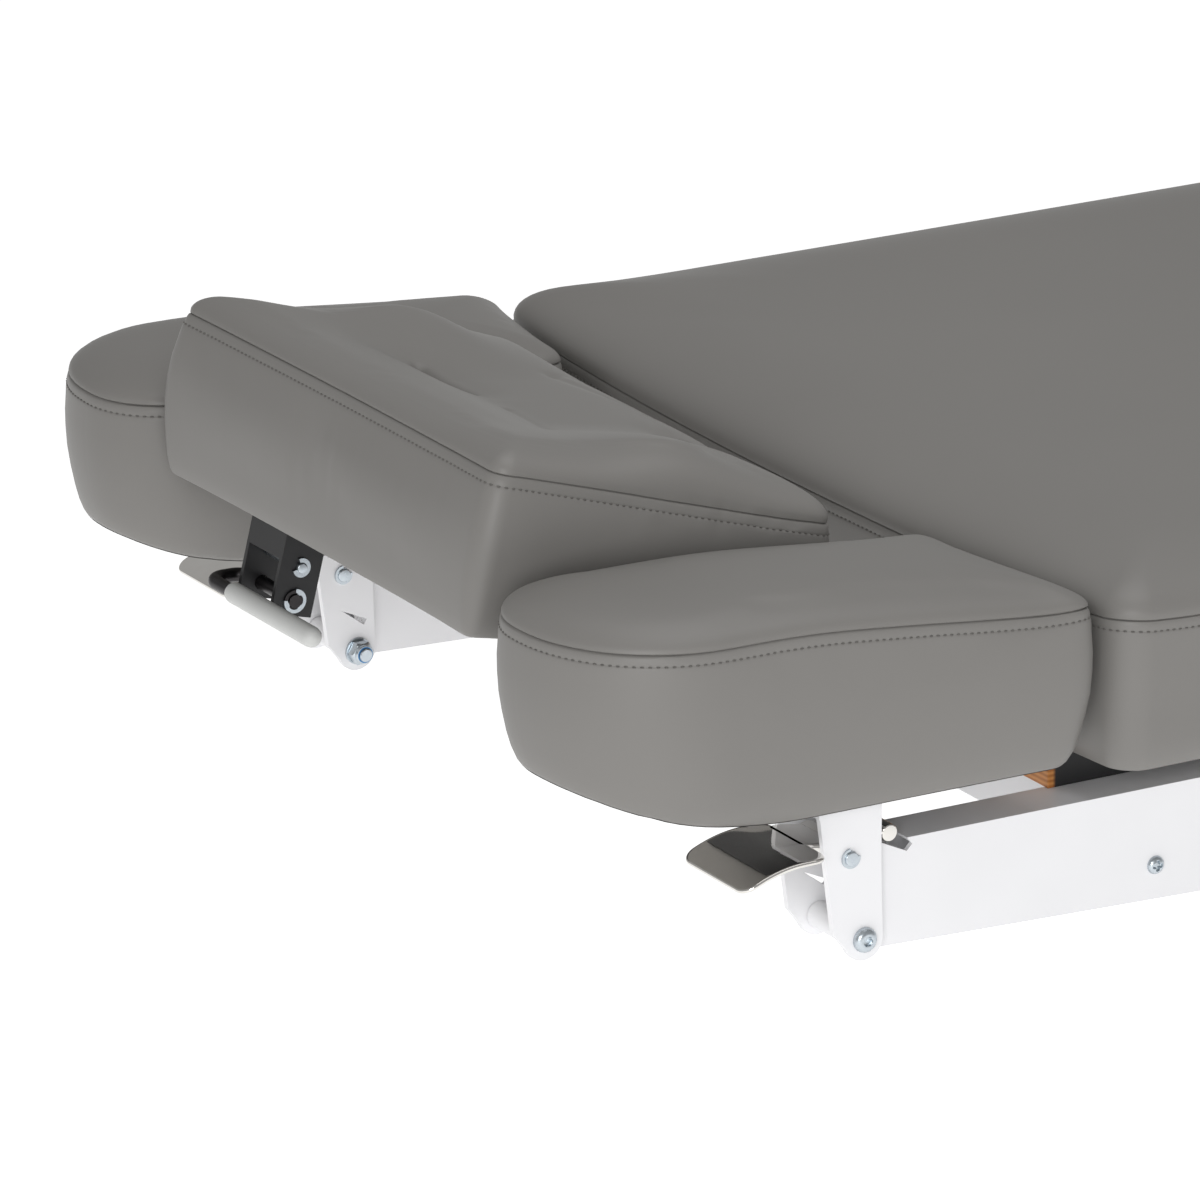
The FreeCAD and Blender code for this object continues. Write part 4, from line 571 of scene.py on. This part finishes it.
def boxed_cushion(name, low, high, radii, tuck, bulge, crown, edge, base_at, seam_at, shift):
    """Outline rings at profile heights: base, then a share of the way to the seam, then the crown.

    Base and seam heights are functions of x; shift moves x by a function of x and of the place across.
    """
    middle, half = (low + high)[:2] / 2, (high - low)[:2] / 2 - SLACK - bulge
    x, y, along, across, share, offset, top = cushion_plan(
        half, radii, tuck, bulge, top_steps=28, top_power=2.2, side_steps=50)
    x = x + middle[0]
    x = x + shift(x, across)
    base = base_at(x)
    rise = share * (seam_at(x) + CORNER_LIFT * (along * across) ** 8 - base)
    points = np.stack([x, y + middle[1], base + rise + offset + crown * crown_share(top, edge)], axis=-1)
    return surface(name, [points]), stitches(name + "_stitching", points[STITCH_ROW])


def upholster(node, cushion, sewn, voxel, cap):
    grown = swell(cushion, [cushion, sewn], voxel, cap)
    dress(cushion, vinyl, "upholstery", BODY_OF[node], node)
    dress(sewn, thread_and_hole_shade, "upholstery", BODY_OF[node])
    faces = [len(piece.data.polygons) for piece in (cushion, sewn)]
    print(node, "cover and stitching faces", faces, "grew", round(grown, 1))


PAD_CROWN, PAD_CROWN_EDGE = 28.0, 90
PAD_CORNER, PAD_TUCK, PAD_BULGE = 21, 8, 2
BOW_REACH = 250
PAD_CELL, PAD_SWELL, PAD_FILL = 9, 2, 0.9
for node, bow in (("backrest_pad", 19.0), ("seat_pad", 0.0)):
    low, high = node_box(node)
    low = low + (bow, 0, 0)
    seam = high[2] - PAD_CROWN
    cushion, sewn = boxed_cushion(
        node + "_cover", low, high, [PAD_CORNER] * 4, PAD_TUCK, PAD_BULGE, PAD_CROWN, PAD_CROWN_EDGE,
        lambda x: low[2] + 0 * x, lambda x: seam + 0 * x,
        lambda x, across: -bow * (1 - across ** 2) * np.clip((low[0] + BOW_REACH - x) / BOW_REACH, 0, 1) ** 2)
    upholster(node, cushion, sewn, PAD_CELL, PAD_SWELL)

# %% Arm pads
ARM_SEAM_HEAD, ARM_SEAM_FALL, ARM_SEAM_KNEE, ARM_KNEE_SOFT = 651.0, 0.107, -830.0, 15
ARM_TOE_START, ARM_TOE_CURVE = -825.0, 0.00150
ARM_OUTER_CORNER, ARM_INNER_CORNER, ARM_FOOT_CORNER = 82, 50, 17
ARM_TUCK, ARM_BULGE, ARM_CROWN, ARM_CROWN_EDGE = 9, 4, 16, 60
ARM_FOOT_SKEW, ARM_FOOT_PUSH, ARM_FOOT_REACH = 15, 2.5, 160
ARM_SWELL, SMALL_CELL, SMALL_FILL = 0.9, 5, 0.85
for name, side in (("right", -1), ("left", 1)):
    node = "arm_pad_" + name
    low, high = node_box(node)
    head_corners = [ARM_INNER_CORNER, ARM_OUTER_CORNER][::-side]
    cushion, sewn = boxed_cushion(
        node + "_cover", low, high, [ARM_FOOT_CORNER, *head_corners, ARM_FOOT_CORNER],
        ARM_TUCK, ARM_BULGE, ARM_CROWN, ARM_CROWN_EDGE,
        lambda x: low[2] + ARM_TOE_CURVE * np.clip(ARM_TOE_START - x, 0, None) ** 2,
        lambda x: ARM_SEAM_HEAD - ARM_SEAM_FALL * ARM_KNEE_SOFT * np.logaddexp(
            0, (x - ARM_SEAM_KNEE) / ARM_KNEE_SOFT),
        lambda x, across: (ARM_FOOT_SKEW * side * across + ARM_FOOT_PUSH) * np.clip(
            (x - high[0] + ARM_FOOT_REACH) / ARM_FOOT_REACH, 0, 1) ** 2)
    upholster(node, cushion, sewn, SMALL_CELL, ARM_SWELL)

# %% [markdown]
# ## The headrest
# The headrest is a thicker cushion with raised bolsters round a shallow hollow, open towards the body.
# Sewn tufts pull the cover down in four short creases, and a faint fold runs from the foot pair to the
# middle. The bolsters are a height added to the grid of a boxed cushion: they rise from the floor of
# the hollow and round off steeply at the seam. The whole is built flat, then tilted as the CAD one is.

# %% Headrest surface
HEADREST_HINGE = np.array([-706.0, 0.0, 563.0])
HEADREST_TILT = np.radians(13.9)
SEAM_SET_IN = 4.0
HEADREST_HEAD, HEADREST_FOOT = -260.0, -40.0
HEADREST_HALF = node_box("headrest_pad")[1][1] - SEAM_SET_IN
HEAD_TUFT = ((-165.0, 70.0), (-162.0, 22.0))
FOOT_TUFT = ((-83.0, 62.0), (-63.0, 70.0))
FOOT_FOLD = ((-83.0, 62.0), (-64.0, 4.0))
HOLLOW_FLOOR, HOLLOW_RISE, HOLLOW_START, HOLLOW_RUN = 5, 10, -185, 120
CREST, CREST_SWELL, CREST_MIDDLE, CREST_WIDTH = 16, 10, -133, 42
CREST_DROP, CREST_DROP_RUN = 1.5, 80
SIDE_START, SIDE_RUN = 45, 105
HEAD_START, HEAD_RUN, HEAD_HEIGHT = -150, 60, 12
BOLSTER_EDGE, DIMPLE_EDGE = 36, 16
FOLD_DEPTH, FOLD_WIDTH = 1.2, 6
CREASE_DEPTH, CREASE_WIDTH, DIMPLE_DEPTH, DIMPLE_WIDTH = 6.5, 3.6, 3.0, 16
TUFT_PULL, TUFT_LEAN, LEAN_WIDTH = 0.55, 0.45, 15


def tilted(u, y, n):
    """Headrest coordinates (along, across, up from its underside) turned about the hinge into the frame."""
    turn_cos, turn_sin = np.cos(HEADREST_TILT), np.sin(HEADREST_TILT)
    return np.stack([HEADREST_HINGE[0] + u * turn_cos + n * turn_sin, y + 0 * u,
                     HEADREST_HINGE[2] - u * turn_sin + n * turn_cos], axis=-1)


def smooth(value):
    """Ease from 0 to 1: 3 v squared minus 2 v cubed, held outside."""
    value = np.clip(value, 0, 1)
    return value * value * (3 - 2 * value)


def bell(distance, width):
    """Bell curve: e to minus the square of distance over width."""
    return np.exp(-(distance / width) ** 2)


def to_line(u, y, line):
    """Distance in the plane from points to the line between two ends."""
    (start_u, start_y), (end_u, end_y) = line
    run_u, run_y = end_u - start_u, end_y - start_y
    share = np.clip(((u - start_u) * run_u + (y - start_y) * run_y) / (run_u ** 2 + run_y ** 2), 0, 1)
    return np.hypot(u - start_u - share * run_u, y - start_y - share * run_y)


def bolsters(u, y, inset):
    """Height over the seam: a rising floor plus side and head bolsters, joined as a fourth-power sum.

    Side crests are bells along the length; the rounding at the seam is the crown's superellipse. Each
    sewn tuft is a narrow bell in a wide one across its line, pulled harder on one side than on the
    other by a hyperbolic tangent of y, and a faint fold runs from the foot tufts to the middle.
    """
    floor = HOLLOW_FLOOR + HOLLOW_RISE * smooth((u - HOLLOW_START) / HOLLOW_RUN)
    crest = CREST + CREST_SWELL * bell(u - CREST_MIDDLE, CREST_WIDTH)
    crest = crest - CREST_DROP * smooth((HEAD_START - u) / CREST_DROP_RUN)
    side = smooth((np.abs(y) - SIDE_START) / SIDE_RUN) * (crest - floor)
    head = smooth((HEAD_START - u) / HEAD_RUN) * (HEAD_HEIGHT - floor)
    height = (floor + (side ** 4 + head ** 4) ** 0.25) * crown_share(inset, BOLSTER_EDGE)
    dimples = FOLD_DEPTH * bell(to_line(u, np.abs(y), FOOT_FOLD), FOLD_WIDTH)
    for tuft, lean in ((HEAD_TUFT, TUFT_LEAN), (FOOT_TUFT, -TUFT_LEAN)):
        away = to_line(u, np.abs(y), tuft)
        depth = CREASE_DEPTH * bell(away, CREASE_WIDTH) + DIMPLE_DEPTH * bell(away, DIMPLE_WIDTH)
        dimples = dimples + (TUFT_PULL + lean * np.tanh(y / LEAN_WIDTH)) * depth
    return height - dimples * np.clip(inset / DIMPLE_EDGE, 0, 1)


HEADREST_BULGE, HEADREST_CORNER, HEADREST_TUCK, HEADREST_SWELL = 6.0, 11, 7, 1.0
SEAM_HEAD, SEAM_FALL, SEAM_FALL_START, SEAM_FALL_RUN = 91, 11, -245, 200
half = np.array([(HEADREST_FOOT - HEADREST_HEAD) / 2, HEADREST_HALF])
u, y, _, _, share, offset, top = cushion_plan(
    half, [HEADREST_CORNER] * 4, HEADREST_TUCK, HEADREST_BULGE, top_steps=84, top_power=1.3, side_steps=120)
u = u + (HEADREST_HEAD + HEADREST_FOOT) / 2
seam = SEAM_HEAD - SEAM_FALL * np.clip((u - SEAM_FALL_START) / SEAM_FALL_RUN, 0, 1)
n = share * seam + offset + np.where(top > 0, bolsters(u, y, top), 0)
points = tilted(u, y, n)
cushion = surface("headrest_pad_cover", [points])
sewn = stitches("headrest_pad_cover_stitching", points[STITCH_ROW])
upholster("headrest_pad", cushion, sewn, SMALL_CELL, HEADREST_SWELL)

# %% [markdown]
# ## The welded frame and other rigid parts
# Tubes, plates and boxes are the CAD's own shapes, but real edges are never knife-sharp: tube corners
# are rolled, plate edges are tumbled and the coat thickens on them. A copy of each CAD mesh is
# merged, its flat faces are joined again and its edges get a small bevel, wide enough to catch light.

# %% Softened copies
def softened(node, width):
    """Copy of a CAD mesh with doubles merged, flat triangles dissolved and edges over 35 degrees bevelled."""
    work = bmesh.new()
    work.from_mesh(frame["nodes"][node].data)
    bmesh.ops.remove_doubles(work, verts=work.verts, dist=1e-5)
    bmesh.ops.dissolve_limit(work, angle_limit=np.radians(2), verts=work.verts, edges=work.edges)
    mesh = bpy.data.meshes.new(node + "_finished")
    work.to_mesh(mesh)
    work.free()
    piece = mesh_object(node + "_finished", mesh)
    edge = piece.modifiers.new("edge", "BEVEL")
    edge.width = width * MM
    edge.segments = 2
    edge.limit_method = "ANGLE"
    edge.angle_limit = np.radians(35)
    edge.harden_normals = True
    return piece


RIGID = (
    (white_coat, "powder_coat", 1.5, ("base_rails", "base_crossbars", "frame_rail_right", "frame_rail_left",
                                      "frame_crossbars", "column_shell_head", "column_shell_foot",
                                      "backrest_beam_right", "backrest_beam_left", "backrest_crossbar_head",
                                      "backrest_crossbar_middle", "backrest_crossbar_foot")),
    (white_coat, "powder_coat", 0.5, ("actuator_base_lugs", "backrest_hinge_posts", "backrest_hinge_arms",
                                      "actuator_rod_lugs", "arm_bracket_right", "arm_bracket_left",
                                      "arm_pivot_sleeves")),
    (grey_coat, "powder_coat", 1.0, ("column_middle_head", "column_middle_foot", "column_inner_head",
                                     "column_inner_foot")),
    (black_coat, "black_steel", 0.6, ("headrest_bracket", "headrest_hinge_ears", "headrest_hinge_lugs",
                                      "spring_base_lugs", "spring_rod_lugs")),
    (PLASTICS["spark_grain_abs"], "plastic", 1.2, ("actuator_housing", "control_box", "base_rail_caps",
                                                   "frame_rail_caps")),
    (board_paint, "board", 0.8, ("seat_board", "backrest_board", "headrest_board", "arm_board_right",
                                 "arm_board_left")),
    (dark_steel, "dark_steel", 0.3, ("spring_barrel", "release_handle")),
    (piston_chrome, "chrome", 0.3, ("actuator_rod", "spring_rod")),
    (zinc, "zinc", 0.4, ("backrest_hinge_pins", "headrest_hinge_pins")),
)
for finish, slot, width, nodes in RIGID:
    for node in nodes:
        dress(softened(node, width), finish, slot, BODY_OF[node], node)
    print(finish.name, len(nodes), "pieces")

# %% [markdown]
# ## Bolts, nuts, pins and screws
# Fasteners are turned or cold-headed, so they are surfaces of revolution: a profile of distances and
# radii carried round an axis. Where a wrench fits, the circle becomes a hexagon; the screw heads have a
# cross sunk into the dome. Ready-made primitives would lack the chamfers that make them look real.

# %% Turned shapes
def turned(place, axis, rows, columns=48):
    """Surface of revolution: rows of (distance along the axis, radius, hexagon share) about a line.

    A hexagon's radius is half its width over the cosine of the angle to the middle of the nearest flat.
    """
    rows, axis = np.array(rows, float), np.array(axis, float)
    turn = np.linspace(0, 2 * np.pi, columns, endpoint=False)
    flat = np.cos(turn % (np.pi / 3) - np.pi / 6)
    radius = rows[:, 1:2] * (1 - rows[:, 2:3] + rows[:, 2:3] / flat)
    first = np.array([1.0, 0.0, 0.0])
    spoke = np.cos(turn)[:, None] * first + np.sin(turn)[:, None] * np.cross(axis, first)
    return np.array(place) + axis * rows[:, None, :1] + radius[..., None] * spoke


def rounded_bar(place, axis, length, radius, edge):
    """Cylinder from a place along an axis, its ends rounded by quarter circles of the edge radius."""
    bend = np.linspace(0, np.pi / 2, 5)
    arc = np.stack([edge * (1 - np.sin(bend)), radius - edge + edge * np.cos(bend), 0 * bend], axis=-1)
    start = arc[::-1]
    end = start[::-1] * (-1, 1, 1) + (length, 0, 0)
    return turned(place, axis, np.concatenate([[(0, 0, 0)], start, end, [(length, 0, 0)]]))


def open_clip(place, axis, shaft, outer, thickness, opening):
    """Spring clip: a rectangle carried round three quarters of a circle, with three teeth inwards.

    The inner radius is that of the shaft plus 0.9 mm, less a bell of 1.2 mm at each tooth.
    """
    axis = np.array(axis, float)
    turn = np.linspace(0.75, 2 * np.pi - 0.75, 49)
    inner = shaft + 0.9 - 1.2 * sum(bell(turn - np.pi - tooth, 0.28) for tooth in (-1.9, 0, 1.9))
    outer = outer + 0 * turn
    radius = np.stack([inner, outer, outer, inner], axis=1)
    closed_end = np.full((1, 4), radius[0].mean())
    radius = np.concatenate([closed_end, radius, closed_end])
    height = np.tile(np.array([-0.5, -0.5, 0.5, 0.5]) * thickness, (len(radius), 1))
    height[[0, -1]] = 0
    turn = np.concatenate([turn[:1], turn, turn[-1:]])[:, None] + opening
    first = np.array([1.0, 0.0, 0.0])
    spoke = np.cos(turn)[..., None] * first + np.sin(turn)[..., None] * np.cross(axis, first)
    return np.array(place) + axis * height[..., None] + radius[..., None] * spoke


print("bar grid", rounded_bar((0, 0, 0), (0, 1, 0), 10, 4, 1).shape)

# %% Pivot bolts and lock nuts
PIVOT_X, PIVOT_Z = -785.0, 465.0
CHEEK_OUTER, CHEEK_INNER = 300.0, 250.0
curve = np.linspace(0, np.pi / 2, 9)
DOME = np.stack([0.8 + 3.6 * np.sin(curve), 3.4 + 3.6 * np.cos(curve), 0 * curve], axis=-1)
BUTTON_BOLT = np.concatenate([
    [(-61, 0, 0), (-61, 3.4, 0), (-60.4, 4, 0), (0, 4, 0), (0, 6.8, 0), (0.2, 7, 0)], DOME,
    [(4.3, 2.8, 0.4), (4.0, 2.5, 1), (1.9, 2.5, 1), (1.4, 0, 0)]])
LOCK_NUT = [
    (0, 4.1, 0), (0, 7.8, 0), (0.2, 8, 0), (1.4, 8, 0), (1.6, 7.8, 0), (1.6, 6.1, 0.6), (2.1, 6.5, 1),
    (6.6, 6.5, 1), (7.4, 6.2, 0.4), (7.6, 5.7, 0), (9.0, 5.6, 0), (9.4, 5.3, 0), (9.5, 4.9, 0), (9.5, 4.1, 0),
    (0, 4.1, 0)]
NYLON_RING = [(9.2, 4.1, 0), (9.2, 4.85, 0), (9.6, 4.8, 0), (9.7, 4.5, 0), (9.6, 4.1, 0), (9.2, 4.1, 0)]
for name, side in (("right", -1), ("left", 1)):
    body = "arm_" + name
    outer = (PIVOT_X, side * CHEEK_OUTER, PIVOT_Z)
    inner = (PIVOT_X, side * CHEEK_INNER, PIVOT_Z)
    bolt = surface("arm_pivot_bolt_" + name + "_turned", [turned(outer, (0, side, 0), BUTTON_BOLT)])
    dress(bolt, zinc, "zinc", body, "arm_pivot_bolt_" + name)
    nut = surface("arm_pivot_nut_" + name + "_turned", [turned(inner, (0, -side, 0), LOCK_NUT)])
    dress(nut, zinc, "zinc", body, "arm_pivot_nut_" + name)
    ring = surface("arm_pivot_nut_" + name + "_ring", [turned(inner, (0, -side, 0), NYLON_RING)])
    dress(ring, PLASTICS["blue_nylon"], "plastic", body)
print("pivot bolts at X", PIVOT_X)

# %% Latch pins, bracket pin and their clips
PIN_MIDDLE, PIN_HALF, CLIP_OFF = 275.0, 27.4, 25.7
LATCH_X, LATCH_Z = -794.0, 512.5
for name, side in (("right", -1), ("left", 1)):
    start = (LATCH_X, side * PIN_MIDDLE - PIN_HALF, LATCH_Z)
    grids = [rounded_bar(start, (0, 1, 0), 2 * PIN_HALF, 4, 0.7)]
    for way in (-1, 1):
        clip_place = (LATCH_X, side * PIN_MIDDLE + way * CLIP_OFF, LATCH_Z)
        grids.append(open_clip(clip_place, (0, way, 0), shaft=3.1, outer=5.6, thickness=1.2, opening=0.9))
    pin = surface("arm_latch_pin_" + name + "_turned", grids)
    dress(pin, zinc, "zinc", "arm_" + name, "arm_latch_pin_" + name)
BRACKET_ALONG, BRACKET_Y, UPPER_PIN_UP, LOWER_PIN_UP = -213.0, 92.0, -26.0, -45.0
BRACKET_PIN_HALF, BRACKET_CLIP_OFF, ROD_CLIP_OFF = 22.4, 20.7, -20.9
pin_start = tilted(BRACKET_ALONG, BRACKET_Y - BRACKET_PIN_HALF, UPPER_PIN_UP)
bracket_pin = [rounded_bar(pin_start, (0, 1, 0), 2 * BRACKET_PIN_HALF, 3, 0.6)]
bracket_clips = [
    open_clip(tilted(BRACKET_ALONG, BRACKET_Y + way * BRACKET_CLIP_OFF, UPPER_PIN_UP), (0, way, 0),
              shaft=2.3, outer=5.5, thickness=1.2, opening=2.6)
    for way in (-1, 1)]
pin = surface("headrest_bracket_pin_turned", bracket_pin + bracket_clips)
dress(pin, zinc, "zinc", "headrest", "headrest_bracket_pin")
rod_clip = open_clip(tilted(BRACKET_ALONG, BRACKET_Y + ROD_CLIP_OFF, LOWER_PIN_UP), (0, -1, 0),
                     shaft=4.0, outer=6.9, thickness=1.6, opening=2.2)
dress(surface("release_handle_clip", [rod_clip]), zinc, "zinc", "handle")
print("pins at", (LATCH_X, LATCH_Z), "clips on both ends and on the handle rod")

# %% Beam screws
SCREW_RADIUS, SCREW_HEIGHT, SCREW_Z, BEAM_OUTER = 5.25, 3.0, 470.0, 294.0
SCREW_STATIONS = (-596.0, -225.0, 25.0)


def pan_head(place, side):
    """Pan head: height times (1 - share to the 3.2) to the 0.6, less a cross where either axis is near."""
    share = np.linspace(1, 0, 16)[:, None]
    turn = np.linspace(0, 2 * np.pi, 48, endpoint=False)[None]
    a, b = SCREW_RADIUS * share * np.cos(turn), SCREW_RADIUS * share * np.sin(turn)
    cross = smooth((1.15 - np.minimum(np.abs(a), np.abs(b))) / 0.4) * smooth((3.3 - np.hypot(a, b)) / 0.7)
    out = SCREW_HEIGHT * (1 - share ** 3.2) ** 0.6 - 1.7 * cross
    head = np.stack([place[0] + a, place[1] + side * out, place[2] + b], axis=-1)
    under = np.broadcast_to(np.array(place, float), (1, 48, 3))
    return np.concatenate([under, head])


heads = [pan_head((x, side * BEAM_OUTER, SCREW_Z), side) for side in (-1, 1) for x in SCREW_STATIONS]
dress(surface("beam_screws_headed", heads), zinc, "zinc", "backrest", "beam_screws")
print("screws:", len(heads))

# %% [markdown]
# ## Latch levers
# Each lever is a chromed plate, bent into a paddle for the fingers, on a hub that turns on the latch
# pin; its nose drops into the notch of the beam. A bent plate is a flat rounded rectangle with a
# rounded rim, carried along a curved line: its length runs along the curve, its thickness across it.

# %% Bent plates
def bent_plate(line_x, line_z, low_y, high_y, thickness, radius):
    """Rounded rectangle with a half-round rim, carried along a line of x and z; thickness is across it."""
    run = np.concatenate([[0], np.cumsum(np.hypot(np.diff(line_x), np.diff(line_z)))])
    half_run, half_wide, rim = run[-1] / 2, (high_y - low_y) / 2, thickness / 2
    reach = min(half_run, half_wide)
    flat = rim + (reach - rim) * np.linspace(1, 0, 9)[:-1] ** 1.5
    bend = np.linspace(-np.pi / 2, np.pi / 2, 9)
    insets = np.concatenate([flat, rim * (1 - np.cos(bend)), flat[::-1]])
    height = np.concatenate([0 * flat - rim, rim * np.sin(bend), 0 * flat + rim])[:, None]
    plan = plan_rings(half_run, half_wide, [radius] * 4, insets, 16)
    station = plan[..., 0] + half_run
    lean = np.arctan2(np.gradient(line_z, run), np.gradient(line_x, run))
    lean = np.interp(station, run, lean)
    x = np.interp(station, run, line_x) - height * np.sin(lean)
    z = np.interp(station, run, line_z) + height * np.cos(lean)
    return np.stack([x, plan[..., 1] + (low_y + high_y) / 2, z], axis=-1)


NECK_INNER, NECK_OUTER = 257.0, 293.0
PADDLE_MIDDLE, PADDLE_HALF, PLATE, NOSE = 283.0, 33, 3.0, 4.0
# Along and up from the pivot bolt. The paddle bends down to its tip by a square law, the neck dips
# into the hub, and the nose rises from there to a round bar.
PADDLE_TIP, BEND_START, PADDLE_ROOT, PLATE_UP, TIP_DROP = -84.0, -46.0, -31.0, 55.5, 10.5
NECK_START, NECK_END, NECK_DIP, NOSE_TIP, NOSE_UP, NOSE_LIFT = -36.0, -9.0, 3.0, 21.0, 53.0, 2.5
NOSE_BAR_X, NOSE_BAR_UP, NOSE_BAR_HALF, NOSE_BAR_RADIUS = 20.0, 54.0, 18.0, 5.0
paddle_x = np.linspace(PADDLE_TIP, PADDLE_ROOT, 60)
paddle_bend = np.clip((BEND_START - paddle_x) / (BEND_START - PADDLE_TIP), 0, None)
paddle_z = PLATE_UP - TIP_DROP * paddle_bend ** 2
neck_x = np.linspace(NECK_START, NECK_END, 30)
neck_z = PLATE_UP - NECK_DIP * smooth((neck_x + 30) / 22)
nose_x = np.linspace(NECK_END, NOSE_TIP, 20)
nose_z = NOSE_UP + NOSE_LIFT * smooth((nose_x - NECK_END) / 29)
HUB_HALF = 19.0
HUB = [(0, 4.3, 0), (0, 7.3, 0), (0.3, 7.8, 0), (0.9, 8, 0), (37.1, 8, 0), (37.7, 7.8, 0), (38, 7.3, 0),
       (38, 4.3, 0), (0, 4.3, 0)]
for name, side in (("right", -1), ("left", 1)):
    low_y, high_y = sorted((side * NECK_INNER, side * NECK_OUTER))
    paddle_low, paddle_high = side * PADDLE_MIDDLE - PADDLE_HALF, side * PADDLE_MIDDLE + PADDLE_HALF
    lever = surface("arm_latch_lever_" + name + "_polished", [
        bent_plate(paddle_x + PIVOT_X, paddle_z + PIVOT_Z, paddle_low, paddle_high, PLATE, 9),
        bent_plate(neck_x + PIVOT_X, neck_z + PIVOT_Z, low_y, high_y, PLATE, 3),
        bent_plate(nose_x + PIVOT_X, nose_z + PIVOT_Z, low_y, high_y, NOSE, 2),
        turned((LATCH_X, side * PIN_MIDDLE - HUB_HALF, LATCH_Z), (0, 1, 0), HUB),
        rounded_bar((PIVOT_X + NOSE_BAR_X, side * PIN_MIDDLE - NOSE_BAR_HALF, PIVOT_Z + NOSE_BAR_UP),
                    (0, 1, 0), 2 * NOSE_BAR_HALF, NOSE_BAR_RADIUS, 1.0)])
    dress(lever, chrome, "chrome", "latch_" + name, "arm_latch_lever_" + name)
print("paddle", 2 * PADDLE_HALF, "mm wide, plate", PLATE, "mm")

# %% [markdown]
# ## Grip and feet
# The grip is a PVC sleeve dipped over the handle rod, so its ends are round like a drop. The feet are
# rubber pucks on levelling screws. Both are turned profiles again.

# %% Grip and feet
GRIP_ALONG, GRIP_START, GRIP_UP = -235.0, 6.0, -50.0
GRIP_LENGTH, GRIP_RADIUS, GRIP_ROUNDING = 98.0, 6, 5.6
grip_end = tilted(GRIP_ALONG, GRIP_START, GRIP_UP)
sleeve = rounded_bar(grip_end, (0, 1, 0), GRIP_LENGTH, GRIP_RADIUS, GRIP_ROUNDING)
grip = surface("handle_grip_dipped", [sleeve])
dress(grip, PLASTICS["dipped_pvc"], "grip", "handle", "handle_grip")
FOOT_RADIUS = 23.0
FOOT = [(0, 0, 0), (0, 19, 0), (0.6, 21, 0), (2, 22.5, 0), (4, FOOT_RADIUS, 0), (8, FOOT_RADIUS, 0),
        (9.5, 22.4, 0), (10.4, 21, 0), (11, 17, 0), (12, 13.5, 0), (14, 12.5, 0), (24.8, 12.5, 0),
        (24.8, 0, 0)]
low, high = node_box("base_feet")
feet = [turned((x, y, 0), (0, 0, 1), FOOT)
        for x in (low[0] + FOOT_RADIUS, high[0] - FOOT_RADIUS)
        for y in (low[1] + FOOT_RADIUS, high[1] - FOOT_RADIUS)]
pucks = surface("base_feet_moulded", feet)
dress(pucks, PLASTICS["black_rubber"], "rubber", BODY_OF["base_feet"], "base_feet")
print("grip", GRIP_LENGTH, "mm, feet", len(feet))
